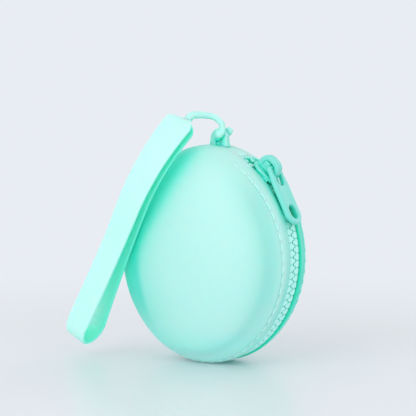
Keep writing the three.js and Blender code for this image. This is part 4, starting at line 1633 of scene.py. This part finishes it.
def floorMaterial():
    material = bpy.data.materials.new("paleFloor")
    material.use_nodes = True
    tree = material.node_tree
    tree.nodes.clear()
    out = tree.nodes.new("ShaderNodeOutputMaterial")
    matt = tree.nodes.new("ShaderNodeBsdfDiffuse")
    matt.inputs["Color"].default_value = shade(stage["floorColour"])
    gloss = tree.nodes.new("ShaderNodeBsdfGlossy")
    gloss.inputs["Color"].default_value = (1, 1, 1, 1)
    gloss.inputs["Roughness"].default_value = stage["floorRoughness"]
    polished = tree.nodes.new("ShaderNodeMixShader")
    polished.inputs[0].default_value = stage["floorGloss"]
    tree.links.new(matt.outputs[0], polished.inputs[1])
    tree.links.new(gloss.outputs[0], polished.inputs[2])
    seen = cameraSeen(tree)
    # Painted light: the floor also glows a little for rays other than camera, glossy and transmission rays,
    # and so lights the pouch from below
    glowLight = tree.nodes.new("ShaderNodeEmission")
    glowLight.inputs["Color"].default_value = shade(stage["floorColour"])
    unseen = mathNode(tree, "SUBTRACT", 1.0, seen)
    tree.links.new(mathNode(tree, "MULTIPLY", unseen, stage["floorGlowLight"]), glowLight.inputs["Strength"])
    surface = tree.nodes.new("ShaderNodeAddShader")
    tree.links.new(polished.outputs[0], surface.inputs[0])
    tree.links.new(glowLight.outputs[0], surface.inputs[1])
    material.cycles.emission_sampling = "NONE"
    back = tree.nodes.new("ShaderNodeEmission")
    back.inputs["Color"].default_value = shade(stage["backColour"])
    coords = tree.nodes.new("ShaderNodeTexCoord")
    length = tree.nodes.new("ShaderNodeVectorMath")
    length.operation = "LENGTH"
    tree.links.new(coords.outputs["Object"], length.inputs[0])
    fade = rangeNode(tree, length.outputs["Value"], stage["fadeStart"], stage["fadeEnd"])
    factor = mathNode(tree, "MULTIPLY", fade, seen)
    mix = tree.nodes.new("ShaderNodeMixShader")
    tree.links.new(factor, mix.inputs[0])
    tree.links.new(surface.outputs[0], mix.inputs[1])
    tree.links.new(back.outputs[0], mix.inputs[2])
    tree.links.new(mix.outputs[0], out.inputs["Surface"])
    return material


floorMesh = bpy.data.meshes.new("floor")
reach = stage["floorHalf"]
floorCorners = [(-reach, -reach, 0), (reach, -reach, 0), (reach, reach, 0), (-reach, reach, 0)]
floorMesh.from_pydata(floorCorners, [], [[0, 1, 2, 3]])
floorMesh.materials.append(floorMaterial())
floor = bpy.data.objects.new("floor", floorMesh)
floor.location = (0, float(eggOrigin[1]) * mm, floorHeight)
bpy.context.scene.collection.objects.link(floor)

world = bpy.data.worlds.new("studio")
world.use_nodes = True
bpy.context.scene.world = world
worldTree = world.node_tree
worldTree.nodes.clear()
worldOut = worldTree.nodes.new("ShaderNodeOutputWorld")
lit = worldTree.nodes.new("ShaderNodeBackground")
lit.inputs["Color"].default_value = (1, 1, 1, 1)
lit.inputs["Strength"].default_value = stage["worldStrength"]
shown = worldTree.nodes.new("ShaderNodeBackground")
shown.inputs["Color"].default_value = shade(stage["backColour"])
shown.inputs["Strength"].default_value = 1.0
worldMix = worldTree.nodes.new("ShaderNodeMixShader")
worldTree.links.new(cameraSeen(worldTree), worldMix.inputs[0])
worldTree.links.new(lit.outputs[0], worldMix.inputs[1])
worldTree.links.new(shown.outputs[0], worldMix.inputs[2])
worldTree.links.new(worldMix.outputs[0], worldOut.inputs["Surface"])

middle = Vector(toRow([0, 0, stage["aimHeight"]]))


def softbox(name, power, size, place):
    lamp = bpy.data.lights.new(name, "AREA")
    lamp.energy = power
    lamp.size = size
    box = bpy.data.objects.new(name, lamp)
    box.location = middle + Vector(place)
    box.rotation_mode = "QUATERNION"
    box.rotation_quaternion = Vector(place).to_track_quat("Z", "Y")
    bpy.context.scene.collection.objects.link(box)


for label, settings in softboxes.items():
    softbox(label, **settings)

# Camera at the photograph's angle, aimed so that the pouch falls where it does there
view = {
    "azimuth": 34.5 * deg,
    "elevation": 6 * deg,
    "distance": 0.7,
    "pixels": 416,
    "pixelsPerMm": 2.42,
    "targetPixel": (213.6, 252.6),
    "sensor": 36.0,
    "clipStart": 0.01,
    "clipEnd": 50,
}
back = Vector((
    math.sin(view["azimuth"]) * math.cos(view["elevation"]),
    -math.cos(view["azimuth"]) * math.cos(view["elevation"]),
    math.sin(view["elevation"]),
))
right = Vector((math.cos(view["azimuth"]), math.sin(view["azimuth"]), 0))
up = back.cross(right)
camera = bpy.data.cameras.new("camera")
camera.sensor_width = view["sensor"]
camera.lens = view["pixelsPerMm"] * view["distance"] / mm * view["sensor"] / view["pixels"]
camera.clip_start = view["clipStart"]
camera.clip_end = view["clipEnd"]
eyePoint = bpy.data.objects.new("camera", camera)
eyePoint.location = middle + back * view["distance"]
offAcross = (view["pixels"] / 2 - view["targetPixel"][0]) / view["pixelsPerMm"] * mm
offUp = (view["targetPixel"][1] - view["pixels"] / 2) / view["pixelsPerMm"] * mm
aim = middle + right * offAcross + up * offUp
eyePoint.rotation_mode = "QUATERNION"
eyePoint.rotation_quaternion = (eyePoint.location - aim).to_track_quat("Z", "Y")
bpy.context.scene.collection.objects.link(eyePoint)
bpy.context.scene.camera = eyePoint
bpy.context.scene.view_settings.view_transform = "Standard"
print("stage made")
